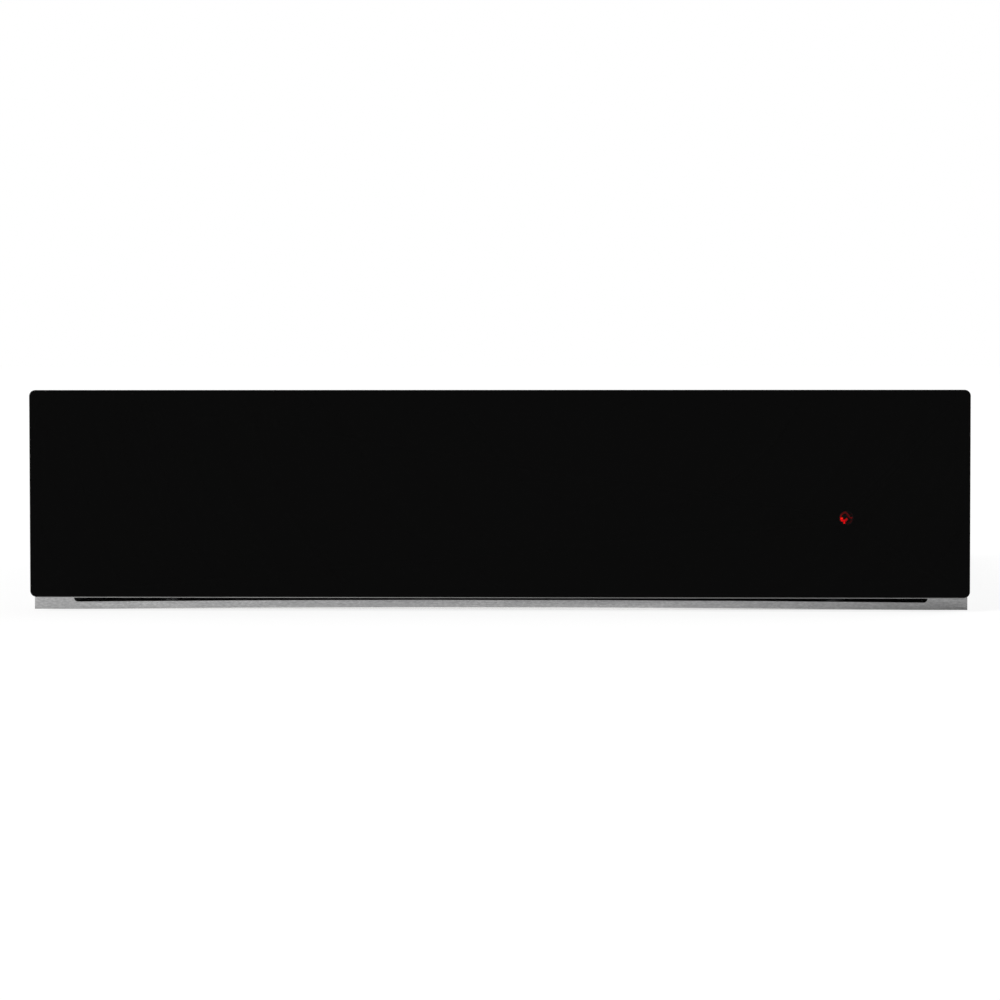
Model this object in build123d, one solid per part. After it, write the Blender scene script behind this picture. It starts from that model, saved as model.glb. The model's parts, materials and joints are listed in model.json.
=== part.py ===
from build123d import *
import math
import os

# Built-in warming drawer. Millimetres, +X to the right as seen from the
# front, the front faces -Y, +Z up. The origin is the middle of the box that
# holds the whole object, on the base.

# ---- Whole object ----
FRONT_W = 594.0  # width of the glass front and of the frame behind it
OVERALL_H = 140.0  # from the base to the top edge of the front
OVERALL_D = 548.0  # from the glass to the end of the cable gland
FRAME_WING = 24.0  # how far the frame stands out past the casing, each side
BODY_DROP = 11.0  # how far the casing stays below the front's top edge
SHEET = 1.0  # casing sheet
FLANGE = 10.0  # width of the side panels' folded edges
FIT = 0.1  # radial room round a screw, bush or plug in its hole

# ---- Front panel ----
GLASS_Z = 9.0  # lower edge of the glass
GLASS_T = 4.0
GLASS_R = 3.8  # corner radius of the glass
GLASS_EDGE = 0.5  # ground edge
PRINT_T = 0.3  # black print on the back of the glass
PRINT_INSET = 0.1  # print inside the glass's edges
PANEL_SHEET = 0.8  # carrier and inner panel
PANEL_T = 17.0  # whole front panel, glass included
LIP_DROP = 0.7  # how far the carrier's lower fold stands below the glass
CARRIER_INSET = 3.0  # carrier inside the glass's side and top edges
PUSH_GAP = 3.0  # from the closed front panel to the frame
PUSH_IN = 2.5  # how far the front is pressed in to open it

# ---- Frame ----
FRAME_DROP = 1.0  # how far the frame stays below the front's top edge
OPENING_EDGE = 0.2  # how far the opening's sides stand inside the casing
OPENING_DROP = 0.5  # from the ceiling plate's underside to the opening's top edge
BAR_H = 4.7  # height of the frame's lower bar
BAR_BOW = 1.4  # how much higher its edges are in the middle
SEAL_SETBACK = 0.2  # from the bar's face to the seal under it
OPENING_R = 2.5
NICHE_HOLE_R = 2.25
NICHE_HOLE_IN = 9.0  # from the frame's side edge to the hole's centre
NICHE_PITCH = 90.0  # between the two holes of a side
SCREW_R = 1.5
SCREW_HEAD_R = 2.8
SCREW_HEAD_T = 1.6
FRAME_LEG = 12.0  # depth of the frame's legs along the casing
SCREW_PITCH = 45.0  # between the screws of a side

# ---- Casing ----
CEILING_DROP = 7.0  # from the casing's top to the ceiling plate's underside
BEAD_W = 18.0  # pressed beads in the base and the top cover
BEAD_H = 3.0
LID_BEAD_H = 2.0
BEAD_L = 380.0
BEAD_IN = (58.0, 223.0)  # from the casing's side to a bead, each side
VENT_L = 26.0
VENT_W = 3.0
VENT_PITCH = 8.0
VENT_ROWS = 6
VENT_IN = (73.0, 108.0)  # from the casing's side to a column of vents
VENT_DROP = 49.0  # from the casing's top to the middle of the vents

# ---- Drawer box ----
DRAWER_SHEET = 0.8
SIDE_T = 11.3  # thickness of a double-skinned side
REAR_ROOM = 18.2  # behind the drawer, up to the rear panel
DRAWER_Z = 34.0  # underside of the drawer's floor
DRAWER_DROP = 4.0  # room above the drawer, up to the ceiling plate
SKIRT_Z = 36.0  # lower edge of the outer skins
FAN_ROOM_D = 39.4  # depth of the room behind the rear wall
MAT_T = 2.0
MAT_GAP = 3.0  # room round the mat
MAT_R = 8.0
PANEL_SCREW_IN = 28.0  # from the drawer's left side to the first screws
PANEL_SCREW_OFF = 75.0  # from the controls to the last screws
PANEL_SCREW_PITCH = 50.0

# ---- Controls, at the front right of the drawer ----
CONTROL_W = 98.0
CONTROL_D = 49.0
FASCIA_DROP = 16.8  # from the drawer's top to the fascia's underside
KNOB_IN = 60.0  # from the drawer's right side to the knob
KNOB_R = 15.0
KNOB_H = 13.6
KNOB_GAP = 0.5
KNOB_FLUTES = 18
SHAFT_R = 3.0
RUN_FIT = 0.05  # radial room of a turning fit
THERMOSTAT_R = 17.0
THERMOSTAT_H = 22.0
SWITCH_IN = 20.0  # from the drawer's right side to the switch
SWITCH_W = 15.0
SWITCH_L = 24.0
SWITCH_DEPTH = 18.0
SWITCH_WALL = 1.6
BEZEL_EDGE = 1.5
BEZEL_T = 1.2
ROCKER_TILT = 9.0  # degrees, either way of level
ROCKER_PIN_R = 1.2
ROCKER_GAP = 0.35
LAMP_IN = 77.5  # from the glass's right edge to the lamp
LAMP_Z = 59.4
WINDOW_R = 4.4  # clear window in the black print
LED_R = 4.15
LED_L = 9.0
HOLDER_R = 5.7
HOLDER_BASE = 1.5  # thickness of the lamp holder's closed rear end
LEAD_HOLE_R = 1.6  # hole for the lamp's leads

# ---- Fan and heater behind the drawer's rear wall ----
FAN_ROOM_R = 4.75  # from the heater's tube to the fan wheel
FAN_HUB_R = 6.0
FAN_W = 12.0
FAN_BLADE_L = 9.0
FAN_BLADES = 24
FAN_SHEET = 0.8
FAN_GAP = 4.0  # from the rear wall to the wheel
FAN_SHAFT_R = 1.5
MOTOR_R = 17.0
MOTOR_L = 19.0
MOTOR_FLANGE_R = 22.0
MOTOR_FLANGE_T = 1.2
ELEMENT_R = 3.25
ELEMENT_HALF_W = 110.0
ELEMENT_ROOM = 10.2  # from the fan room's floor and top to the tube's middle
ELEMENT_BEND = 28.0
ELEMENT_FEED = 14.0  # the two ends' distance from the middle
ELEMENT_FEED_BEND = 9.0
ELEMENT_TAIL = 5.0  # what stands out behind the rear cover
CUTOUT_IN = 78.0  # from the drawer's right side to the cut-out
CUTOUT_R = 8.0
CUTOUT_L = 7.0
INTAKE_R = 20.0  # holes in front of the fan
INTAKE_HOLE_R = 2.0
INTAKE_PITCH = 6.0
OUTLET_L = 16.0
OUTLET_W = 3.0
OUTLET_STEP = (24.0, 8.0)
OUTLET_COUNT = (4, 7)
OUTLET_IN = 68.0  # from the drawer's side to the middle of its slots

# ---- Telescopic rails, three members each ----
RAIL_ROOM = 31.0  # behind the rails, up to the rear panel
RAIL_H = 45.0
RAIL_T = 12.7
RAIL_Z = 68.0
RAIL_SETBACK = 3.0  # from the frame to the rails' front ends
RAIL_STEEL = 1.2
RAIL_GAP = 0.4
CAGE_T = 0.7
CAGE_LENGTH = 180.0
CAGE_FRONT = 138.0  # from the rails' front ends to the cages, drawer shut
OUTER_FLANGE_T = 1.6
MIDDLE_FLANGE_T = 1.4
BALL_R = 2.0
BALL_ROOM = 0.15
BALL_GAP = 3.4  # between the flanges that a row of balls runs between
BALL_IN = 1.8  # from the inner member's edges to the balls' line
CAGE_EDGE = 3.0  # from the balls' line to the cage's edge
FLANGE_SHORT = 2.2  # outer and middle flanges stop this far before the drawer
BALLS = 6  # in one row of a cage
BALL_PITCH = 32.0

# ---- Touch latch, under the fan room ----
LATCH_W = 36.0
LATCH_L = 50.0
LATCH_H = 26.0
LATCH_WALL = 2.0
LATCH_BACK = 6.0  # from the rear panel to the latch
LATCH_SLOT = 14.0
LATCH_EAR = 10.0
SLIDER_L = 22.0
SLIDER_H = 15.0
SLIDER_BACK = 7.0  # from the latch's rear wall to the slider
SLIDE_FIT = 0.3
SPRING_R = 4.5
SPRING_WIRE = 1.0
SPRING_POCKET = 10.0
JAW_T = 3.0
JAW_H = 9.0
HEAD_W = 14.0
HEAD_L = 6.7
HEAD_H = 7.0
NECK_W = 6.0
HOOK_L = 4.0
STRIKER_PLATE_W = 30.0
STRIKER_PLATE_L = 20.0
STRIKER_PLATE_T = 1.6
STRIKER_POST_L = 10.0

# ---- Supply: gland, terminal box and coiled cable ----
CABLE_X = -120.0
CABLE_Z = 16.0
GLAND_REACH = 12.0  # how far the gland stands out of the rear panel
GLAND_BORE_R = 4.2
GLAND_THREAD_R = 6.4
GLAND_NUT_R = 9.0
GLAND_NUT_T = 4.0
TERMINAL_BOX_W = 90.0
TERMINAL_BOX_L = 56.0
TERMINAL_BOX_H = 30.0
BOX_WALL = 1.5
BLOCK_W = 36.0
BLOCK_L = 16.0
BLOCK_H = 12.0
POLE_PITCH = 12.0
POLE_R = 2.6
COIL_R = 7.0  # outside of the coiled cable
COIL_L = 152.0  # its length with the drawer shut
BUSH_L = 6.0
BUSH_R = 6.0
ANCHOR_W = 20.0
ANCHOR_T = 3.0
ANCHOR_FOOT = 12.0

# ---- Places worked out from the sizes above ----
GLASS_Y = -OVERALL_D / 2  # front face of the glass
BACK_Y = OVERALL_D / 2  # end of the gland
REAR_Y = BACK_Y - GLAND_REACH  # outer face of the rear panel
REAR_IN = REAR_Y - SHEET
PANEL_Y = GLASS_Y + PANEL_T  # back of the front panel
FRAME_Y = PANEL_Y + PUSH_GAP  # front face of the frame
CASE_Y = FRAME_Y + SHEET  # front end of the casing
BODY_X = FRONT_W / 2 - FRAME_WING  # outer face of a side panel
WALL_X = BODY_X - SHEET  # inner face of a side panel
BODY_H = OVERALL_H - BODY_DROP
LID_Z = BODY_H - SHEET  # underside of the top cover
CEILING_Z = BODY_H - CEILING_DROP
OPENING_TOP = CEILING_Z - OPENING_DROP
VENT_Z = BODY_H - VENT_DROP
FRAME_H = OVERALL_H - FRAME_DROP
GLASS_H = OVERALL_H - GLASS_Z
LIP_Z = GLASS_Z - LIP_DROP
FOLD_X = FRONT_W / 2 - CARRIER_INSET  # outside of the carrier's side folds
FOLD_TOP = OVERALL_H - CARRIER_INSET
PRINT_Y = GLASS_Y + GLASS_T
CARRIER_Y = PRINT_Y + PRINT_T
NICHE_X = FRONT_W / 2 - NICHE_HOLE_IN
OPENING_X = WALL_X - OPENING_EDGE
LEG_X = BODY_X + SHEET  # outer face of the frame's legs
LEG_SCREW_Y = CASE_Y + FRAME_LEG / 2
MID_Z = BODY_H / 2

SKIN_X = WALL_X - RAIL_T  # outside of the drawer's outer skins
INTERIOR_X = SKIN_X - SIDE_T
LINER_X = INTERIOR_X + DRAWER_SHEET
FRONT_WALL_Y = PANEL_Y + DRAWER_SHEET  # inner face of the drawer's front wall
DRAWER_BACK = REAR_IN - REAR_ROOM
COVER_Y = DRAWER_BACK - DRAWER_SHEET  # inner face of the drawer's rear cover
FAN_ROOM_Y = COVER_Y - FAN_ROOM_D
REAR_WALL_Y = FAN_ROOM_Y - DRAWER_SHEET
FLOOR_Z = DRAWER_Z + DRAWER_SHEET
DRAWER_TOP = CEILING_Z - DRAWER_DROP
RIM_Z = DRAWER_TOP - DRAWER_SHEET
FAN_Z = (FLOOR_Z + RIM_Z) / 2
ELEMENT_HALF_H = RIM_Z - FAN_Z - ELEMENT_ROOM
FAN_R = ELEMENT_HALF_H - ELEMENT_R - FAN_ROOM_R

CONTROL_X = INTERIOR_X - CONTROL_W
CONTROL_Y = FRONT_WALL_Y + CONTROL_D
KNOB_X = INTERIOR_X - KNOB_IN
KNOB_Y = FRONT_WALL_Y + CONTROL_D / 2
SWITCH_X = INTERIOR_X - SWITCH_IN
LAMP_X = FRONT_W / 2 - LAMP_IN
FASCIA_Z = DRAWER_TOP - FASCIA_DROP
FASCIA_TOP = FASCIA_Z + DRAWER_SHEET
KNOB_Z = FASCIA_TOP + KNOB_GAP

RAIL_Y = CASE_Y + RAIL_SETBACK
RAIL_END = REAR_IN - RAIL_ROOM
OUTER_CAGE_U = RAIL_STEEL + RAIL_GAP
MIDDLE_U = OUTER_CAGE_U + CAGE_T + RAIL_GAP
INNER_CAGE_U = MIDDLE_U + RAIL_STEEL + RAIL_GAP
INNER_TIP_U = INNER_CAGE_U + CAGE_T + RAIL_GAP
BALL_U = INNER_TIP_U + BALL_IN
FLANGE_TIP_U = RAIL_T - FLANGE_SHORT
MIDDLE_HALF = RAIL_H / 2 - OUTER_FLANGE_T - BALL_GAP
INNER_HALF = MIDDLE_HALF - MIDDLE_FLANGE_T - BALL_GAP
OUTER_BALL_W = MIDDLE_HALF + BALL_GAP / 2
INNER_BALL_W = INNER_HALF + BALL_GAP / 2

LATCH_END = REAR_IN - LATCH_BACK
LATCH_Y = LATCH_END - LATCH_L
LATCH_FLOOR = SHEET + LATCH_WALL
SLIDER_END = LATCH_END - LATCH_WALL - SLIDER_BACK
SLIDER_Y = SLIDER_END - SLIDER_L
SLIDER_Z = LATCH_FLOOR + SLIDE_FIT
SLIDER_MID = SLIDER_Z + SLIDER_H / 2
HEAD_END = SLIDER_Y - JAW_T - SLIDE_FIT - PUSH_IN
HEAD_Y = HEAD_END - HEAD_L
JAW_Y = HEAD_Y - SLIDE_FIT - HOOK_L

BOX_Y = REAR_IN - TERMINAL_BOX_L
COIL_END = BOX_Y - BUSH_L
COIL_Y = COIL_END - COIL_L


# ---- Building blocks ----
def block(x0, x1, y0, y1, z0, z1):
    """Block between two limits on each axis."""
    middle = Pos((x0 + x1) / 2, (y0 + y1) / 2, (z0 + z1) / 2)
    return middle * Box(abs(x1 - x0), abs(y1 - y0), abs(z1 - z0))


def rod_y(x, z, radius, y0, y1):
    """Round bar along Y."""
    return Pos(x, (y0 + y1) / 2, z) * Rot(90, 0, 0) * Cylinder(radius, abs(y1 - y0))


def rod_z(x, y, radius, z0, z1):
    """Upright round bar."""
    return Pos(x, y, (z0 + z1) / 2) * Cylinder(radius, abs(z1 - z0))


def rod_x(y, z, radius, x0, x1):
    """Round bar along X."""
    return Pos((x0 + x1) / 2, y, z) * Rot(0, 90, 0) * Cylinder(radius, abs(x1 - x0))


def prism_y(outline, y0, y1):
    """Outline drawn in X and Z, from y0 back to y1."""
    return extrude(Plane.XZ.offset(-y1) * outline, amount=y1 - y0)


def prism_z(outline, z0, z1):
    """Outline drawn in X and Y, from z0 up to z1."""
    return extrude(Plane.XY.offset(z0) * outline, amount=z1 - z0)


def prism_x(outline, x0, x1):
    """Outline drawn in Y and Z, from x0 to x1."""
    return extrude(Plane.YZ.offset(x0) * outline, amount=x1 - x0)


def on_side(shape, side):
    """The right-hand shape, or its mirror image for the left."""
    return shape if side > 0 else mirror(shape, about=Plane.YZ)


def both_sides(insets):
    """Places on the left and on the right, at these distances from the casing's sides."""
    return [side * (BODY_X - inset) for side in (-1, 1) for inset in insets]


SIDES = (("left", -1), ("right", 1))


# ---- Casing ----
LEG_SCREWS = [MID_Z - SCREW_PITCH, MID_Z + SCREW_PITCH]
REAR_SCREW_X = WALL_X - FLANGE / 2
REAR_SCREWS = [(side * REAR_SCREW_X, MID_Z + k * SCREW_PITCH) for side in (-1, 1) for k in (-1, 0, 1)]
EAR_SCREWS = [(side * (LATCH_W + LATCH_EAR) / 2, LATCH_Y + LATCH_L / 2) for side in (-1, 1)]
SCREW_HOLE_R = SCREW_R + FIT


def bead(place, height, inset=0):
    """Long tapered form of a pressed bead, standing on its place."""
    outline = place * Rot(0, 0, 90) * SlotOverall(BEAD_L - 2 * inset, BEAD_W - 2 * inset)
    return extrude(outline, amount=height, taper=30)


def base_pan():
    pan = block(-BODY_X, BODY_X, CASE_Y, REAR_Y, 0, SHEET)
    for x in both_sides(BEAD_IN):
        place = Pos(x, (CASE_Y + BOX_Y) / 2)
        pan += bead(place, BEAD_H + SHEET)
        pan -= bead(place, BEAD_H, SHEET)
    for x, y in EAR_SCREWS:
        pan -= rod_z(x, y, SCREW_HOLE_R, 0, SHEET)
    return pan


def side_panel():
    """Right side panel: web, three folded edges and the screws' holes."""
    panel = block(WALL_X, BODY_X, CASE_Y, REAR_IN, SHEET, LID_Z)
    inside = WALL_X - FLANGE
    panel += block(inside, WALL_X, CASE_Y, REAR_IN, SHEET, 2 * SHEET)
    panel += block(inside, WALL_X, CASE_Y, REAR_IN, LID_Z - SHEET, LID_Z)
    panel += block(inside, WALL_X, REAR_IN - SHEET, REAR_IN, SHEET, LID_Z)
    for z in LEG_SCREWS:
        panel -= rod_x(LEG_SCREW_Y, z, SCREW_HOLE_R, WALL_X, BODY_X)
    for x, z in REAR_SCREWS:
        panel -= rod_y(x, z, SCREW_HOLE_R, REAR_IN - SHEET, REAR_IN)
    return panel


def rear_panel():
    height = LID_Z - SHEET
    outline = Pos(0, SHEET + height / 2) * Rectangle(2 * BODY_X, height)
    for x in both_sides(VENT_IN):
        for row in range(VENT_ROWS):
            z = VENT_Z + (row - (VENT_ROWS - 1) / 2) * VENT_PITCH
            outline -= Pos(x, z) * SlotOverall(VENT_L, VENT_W)
    for x, z in REAR_SCREWS:
        outline -= Pos(x, z) * Circle(SCREW_HOLE_R)
    outline -= Pos(CABLE_X, CABLE_Z) * Circle(GLAND_THREAD_R + FIT)
    return prism_y(outline, REAR_IN, REAR_Y)


def lid_places():
    """Places of the top cover's beads, which go down from its upper face."""
    middle = (CASE_Y + REAR_Y) / 2
    return [Pos(x, middle, BODY_H) * Rot(180, 0, 0) for x in both_sides(BEAD_IN)]


def top_cover():
    lid = block(-BODY_X, BODY_X, CASE_Y, REAR_Y, LID_Z, BODY_H)
    for place in lid_places():
        lid += bead(place, LID_BEAD_H + SHEET)
        lid -= bead(place, LID_BEAD_H, SHEET)
    return lid


def ceiling_plate():
    """Plate over the drawer, hung on its upturned edges."""
    rear = REAR_IN - SHEET
    plate = block(-WALL_X, WALL_X, CASE_Y, rear, CEILING_Z, CEILING_Z + SHEET)
    for side in (-1, 1):
        edge = (side * (WALL_X - SHEET), side * WALL_X)
        plate += block(*edge, CASE_Y, rear, CEILING_Z, LID_Z - SHEET)
    return plate


def ceiling_insulation():
    half = WALL_X - FLANGE
    wool = block(-half, half, CASE_Y, REAR_IN - SHEET, CEILING_Z + SHEET, LID_Z)
    for place in lid_places():
        wool -= bead(place, LID_BEAD_H + SHEET)
    return wool


def bar_bow(z):
    """Low arched outline that both edges of the frame's lower bar follow."""
    half = OPENING_X - OPENING_R
    bow = ThreePointArc((-half, z), (0, z + BAR_BOW), (half, z))
    return make_face(bow + Line((half, z), (-half, z)))


def front_frame():
    """Frame round the opening, its lower bar a little bowed, with two legs."""
    height = OPENING_TOP - BAR_H
    opening = Pos(0, BAR_H + height / 2) * RectangleRounded(2 * OPENING_X, height, OPENING_R)
    opening -= bar_bow(BAR_H)
    outline = Pos(0, FRAME_H / 2) * Rectangle(FRONT_W, FRAME_H) - opening - bar_bow(0)
    for side in (-1, 1):
        for up in (-1, 1):
            place = Pos(side * NICHE_X, FRAME_H / 2 + up * NICHE_PITCH / 2)
            outline -= place * Circle(NICHE_HOLE_R)
    frame = prism_y(outline, FRAME_Y, CASE_Y)
    for side in (-1, 1):
        leg = (side * BODY_X, side * LEG_X)
        frame += block(*leg, CASE_Y, CASE_Y + FRAME_LEG, BAR_H, OPENING_TOP)
        for z in LEG_SCREWS:
            frame -= rod_x(LEG_SCREW_Y, z, SCREW_HOLE_R, *leg)
    return frame


def niche_seal():
    """Sealing strip that fills the gap under the bowed bar."""
    return prism_y(bar_bow(0), FRAME_Y + SEAL_SETBACK, CASE_Y)


def casing_screws():
    """Screws of the frame, the rear panel and the latch."""
    screws = []
    for side in (-1, 1):
        for z in LEG_SCREWS:
            head = rod_x(LEG_SCREW_Y, z, SCREW_HEAD_R, LEG_X, LEG_X + SCREW_HEAD_T)
            screw = head + rod_x(LEG_SCREW_Y, z, SCREW_R, WALL_X - 2 * SHEET, LEG_X)
            screws.append(on_side(screw, side))
    for x, z in REAR_SCREWS:
        head = rod_y(x, z, SCREW_HEAD_R, REAR_Y, REAR_Y + SCREW_HEAD_T)
        screws.append(head + rod_y(x, z, SCREW_R, REAR_Y - 4 * SHEET, REAR_Y))
    for x, y in EAR_SCREWS:
        head = rod_z(x, y, SCREW_HEAD_R, LATCH_FLOOR, LATCH_FLOOR + SCREW_HEAD_T)
        screws.append(head + rod_z(x, y, SCREW_R, SHEET / 4, LATCH_FLOOR))
    return Compound(screws)


# ---- Supply ----
def terminal_box():
    """Open box on the base, against the rear panel."""
    x0 = CABLE_X - TERMINAL_BOX_W / 2
    x1 = CABLE_X + TERMINAL_BOX_W / 2
    top = SHEET + TERMINAL_BOX_H - BOX_WALL
    box = block(x0, x1, BOX_Y, REAR_IN, SHEET, top)
    low = SHEET + BOX_WALL
    box -= block(x0 + BOX_WALL, x1 - BOX_WALL, BOX_Y + BOX_WALL, REAR_IN - BOX_WALL, low, top)
    box -= rod_y(CABLE_X, CABLE_Z, GLAND_THREAD_R + FIT, REAR_IN - BOX_WALL, REAR_IN)
    box -= rod_y(CABLE_X, CABLE_Z, BUSH_R / 2 + FIT, BOX_Y, BOX_Y + BOX_WALL)
    return box


def terminal_lid():
    x0 = CABLE_X - TERMINAL_BOX_W / 2
    x1 = CABLE_X + TERMINAL_BOX_W / 2
    top = SHEET + TERMINAL_BOX_H
    return block(x0, x1, BOX_Y, REAR_IN, top - BOX_WALL, top)


def terminal_block():
    """Three-pole block with a wire bore and a screw well for each pole."""
    low = SHEET + BOX_WALL
    y0 = BOX_Y + BOX_WALL + BLOCK_L / 2
    body = block(CABLE_X - BLOCK_W / 2, CABLE_X + BLOCK_W / 2, y0, y0 + BLOCK_L, low, low + BLOCK_H)
    for k in (-1, 0, 1):
        x = CABLE_X + k * POLE_PITCH
        body -= rod_y(x, low + BLOCK_H / 3, POLE_R / 2, y0, y0 + BLOCK_L)
        body -= rod_z(x, y0 + BLOCK_L / 2, POLE_R, low + 2 * BLOCK_H / 3, low + BLOCK_H)
    return body


def cable_gland():
    """Gland through the rear panel and the terminal box, with a clear bore."""
    inner_nut = REAR_IN - BOX_WALL - GLAND_NUT_T
    hexagon = Pos(CABLE_X, CABLE_Z) * RegularPolygon(GLAND_NUT_R, 6)
    gland = rod_y(CABLE_X, CABLE_Z, GLAND_THREAD_R, inner_nut, BACK_Y)
    gland += prism_y(hexagon, REAR_Y, REAR_Y + GLAND_NUT_T)
    gland += prism_y(hexagon, inner_nut, inner_nut + GLAND_NUT_T)
    dome = rod_y(CABLE_X, CABLE_Z, GLAND_NUT_R * 0.86, REAR_Y + GLAND_NUT_T, BACK_Y)
    edge = dome.edges().filter_by(GeomType.CIRCLE).sort_by(Axis.Y)[-1]
    gland += fillet(edge, GLAND_NUT_R * 0.2)
    return gland - rod_y(CABLE_X, CABLE_Z, GLAND_BORE_R, inner_nut, BACK_Y)


def cable_bush():
    """Strain relief of the coiled cable on the terminal box."""
    bush = rod_y(CABLE_X, CABLE_Z, BUSH_R, COIL_END, BOX_Y)
    return bush + rod_y(CABLE_X, CABLE_Z, BUSH_R / 2, BOX_Y, BOX_Y + BOX_WALL)


def cable_anchor():
    """Bracket under the drawer that carries the cable's other end."""
    x0 = CABLE_X - ANCHOR_W / 2
    x1 = CABLE_X + ANCHOR_W / 2
    y0 = COIL_Y - ANCHOR_T
    bracket = block(x0, x1, y0, COIL_Y, CABLE_Z - COIL_R, DRAWER_Z)
    return bracket + block(x0, x1, y0 - ANCHOR_FOOT, y0, DRAWER_Z - ANCHOR_T, DRAWER_Z)


def coil_cable():
    return rod_y(CABLE_X, CABLE_Z, COIL_R, COIL_Y, COIL_END)


# ---- Front panel ----
def glass_outline(inset):
    height = GLASS_H - 2 * inset
    outline = RectangleRounded(FRONT_W - 2 * inset, height, GLASS_R - inset)
    return Pos(0, GLASS_Z + GLASS_H / 2) * outline


def front_glass():
    glass = prism_y(glass_outline(0), GLASS_Y, PRINT_Y)
    front = glass.faces().sort_by(Axis.Y)[0]
    return chamfer(front.edges(), GLASS_EDGE)


def front_print():
    window = Pos(LAMP_X, LAMP_Z) * Circle(WINDOW_R)
    return prism_y(glass_outline(PRINT_INSET) - window, PRINT_Y, CARRIER_Y)


def lamp_hole(y0, y1):
    return rod_y(LAMP_X, LAMP_Z, HOLDER_R + FIT, y0, y1)


def front_carrier():
    """Steel tray that the glass is bonded to, its folds running back."""
    tray = block(-FOLD_X, FOLD_X, CARRIER_Y, PANEL_Y, LIP_Z, FOLD_TOP)
    inner_x = FOLD_X - PANEL_SHEET
    inside_y = CARRIER_Y + PANEL_SHEET
    top = FOLD_TOP - PANEL_SHEET
    tray -= block(-inner_x, inner_x, inside_y, PANEL_Y, LIP_Z + PANEL_SHEET, top)
    return tray - lamp_hole(CARRIER_Y, inside_y)


def panel_screws():
    """Places of the screws that hold the drawer to the front panel."""
    first = PANEL_SCREW_IN - INTERIOR_X
    last = CONTROL_X - PANEL_SCREW_OFF
    columns = (first, (first + last) / 2, last)
    return [(x, FAN_Z + up * PANEL_SCREW_PITCH / 2) for x in columns for up in (-1, 1)]


def front_insulation():
    inner_x = FOLD_X - PANEL_SHEET
    y0 = CARRIER_Y + PANEL_SHEET
    y1 = PANEL_Y - PANEL_SHEET
    wool = block(-inner_x, inner_x, y0, y1, LIP_Z + PANEL_SHEET, FOLD_TOP - PANEL_SHEET)
    for x, z in panel_screws():
        wool -= rod_y(x, z, SCREW_HOLE_R, y1 - 4 * SHEET, y1)
    return wool - lamp_hole(y0, y1)


def inner_panel():
    inner_x = FOLD_X - PANEL_SHEET
    y0 = PANEL_Y - PANEL_SHEET
    panel = block(-inner_x, inner_x, y0, PANEL_Y, LIP_Z + PANEL_SHEET, FOLD_TOP - PANEL_SHEET)
    for x, z in panel_screws():
        panel -= rod_y(x, z, SCREW_HOLE_R, y0, PANEL_Y)
    return panel - lamp_hole(y0, PANEL_Y)


def drawer_screws():
    screws = []
    for x, z in panel_screws():
        head = rod_y(x, z, SCREW_HEAD_R, FRONT_WALL_Y, FRONT_WALL_Y + SCREW_HEAD_T)
        shank = rod_y(x, z, SCREW_R, PANEL_Y - PANEL_SHEET - 3 * SHEET, FRONT_WALL_Y)
        screws.append(head + shank)
    return Compound(screws)


# ---- Drawer box ----
def drawer_box():
    """Floor, front wall and two double-skinned sides, each folded over its rim."""
    box = block(-LINER_X, LINER_X, PANEL_Y, DRAWER_BACK, DRAWER_Z, FLOOR_Z)
    box += block(-SKIN_X, SKIN_X, PANEL_Y, FRONT_WALL_Y, DRAWER_Z, DRAWER_TOP)
    for side in (-1, 1):
        liner = (side * INTERIOR_X, side * LINER_X)
        skin = (side * (SKIN_X - DRAWER_SHEET), side * SKIN_X)
        rim = (side * INTERIOR_X, side * SKIN_X)
        box += block(*liner, PANEL_Y, DRAWER_BACK, DRAWER_Z, DRAWER_TOP)
        box += block(*rim, PANEL_Y, DRAWER_BACK, RIM_Z, DRAWER_TOP)
        box += block(*skin, PANEL_Y, DRAWER_BACK, SKIRT_Z, DRAWER_TOP)
    for x, z in panel_screws():
        box -= rod_y(x, z, SCREW_HOLE_R, PANEL_Y, FRONT_WALL_Y)
    return box - rod_y(LAMP_X, LAMP_Z, LEAD_HOLE_R, PANEL_Y, FRONT_WALL_Y)


def drawer_mat():
    """Ribbed rubber mat, cut out round the controls."""
    half_w = INTERIOR_X - MAT_GAP
    y0 = FRONT_WALL_Y + MAT_GAP
    y1 = REAR_WALL_Y - MAT_GAP
    outline = Pos(0, (y0 + y1) / 2) * RectangleRounded(2 * half_w, y1 - y0, MAT_R)
    corner_x = CONTROL_X - MAT_GAP
    corner_y = CONTROL_Y + MAT_GAP
    notch_w = INTERIOR_X - corner_x
    notch_d = corner_y - FRONT_WALL_Y
    notch = Rectangle(notch_w, notch_d, align=(Align.MIN, Align.MAX))
    outline -= Pos(corner_x, corner_y) * notch
    return prism_z(outline, FLOOR_Z, FLOOR_Z + MAT_T)


def rear_wall():
    """Drawer's rear wall: round holes before the fan, slots on both sides."""
    height = RIM_Z - FLOOR_Z
    outline = Pos(0, FAN_Z) * Rectangle(2 * INTERIOR_X, height)
    reach = int(INTAKE_R / INTAKE_PITCH) + 1
    row_step = INTAKE_PITCH * math.sqrt(3) / 2
    holes = []
    for row in range(-reach, reach + 1):
        for column in range(-reach, reach + 1):
            x = (column + (row % 2) / 2) * INTAKE_PITCH
            z = row * row_step
            if math.hypot(x, z) <= INTAKE_R:
                holes.append(Pos(x, FAN_Z + z) * Circle(INTAKE_HOLE_R))
    columns, rows = OUTLET_COUNT
    for side in (-1, 1):
        for column in range(columns):
            for row in range(rows):
                x = side * (INTERIOR_X - OUTLET_IN) + (column - (columns - 1) / 2) * OUTLET_STEP[0]
                z = FAN_Z + (row - (rows - 1) / 2) * OUTLET_STEP[1]
                holes.append(Pos(x, z) * SlotOverall(OUTLET_L, OUTLET_W))
    return prism_y(outline - holes, REAR_WALL_Y, FAN_ROOM_Y)


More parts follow.
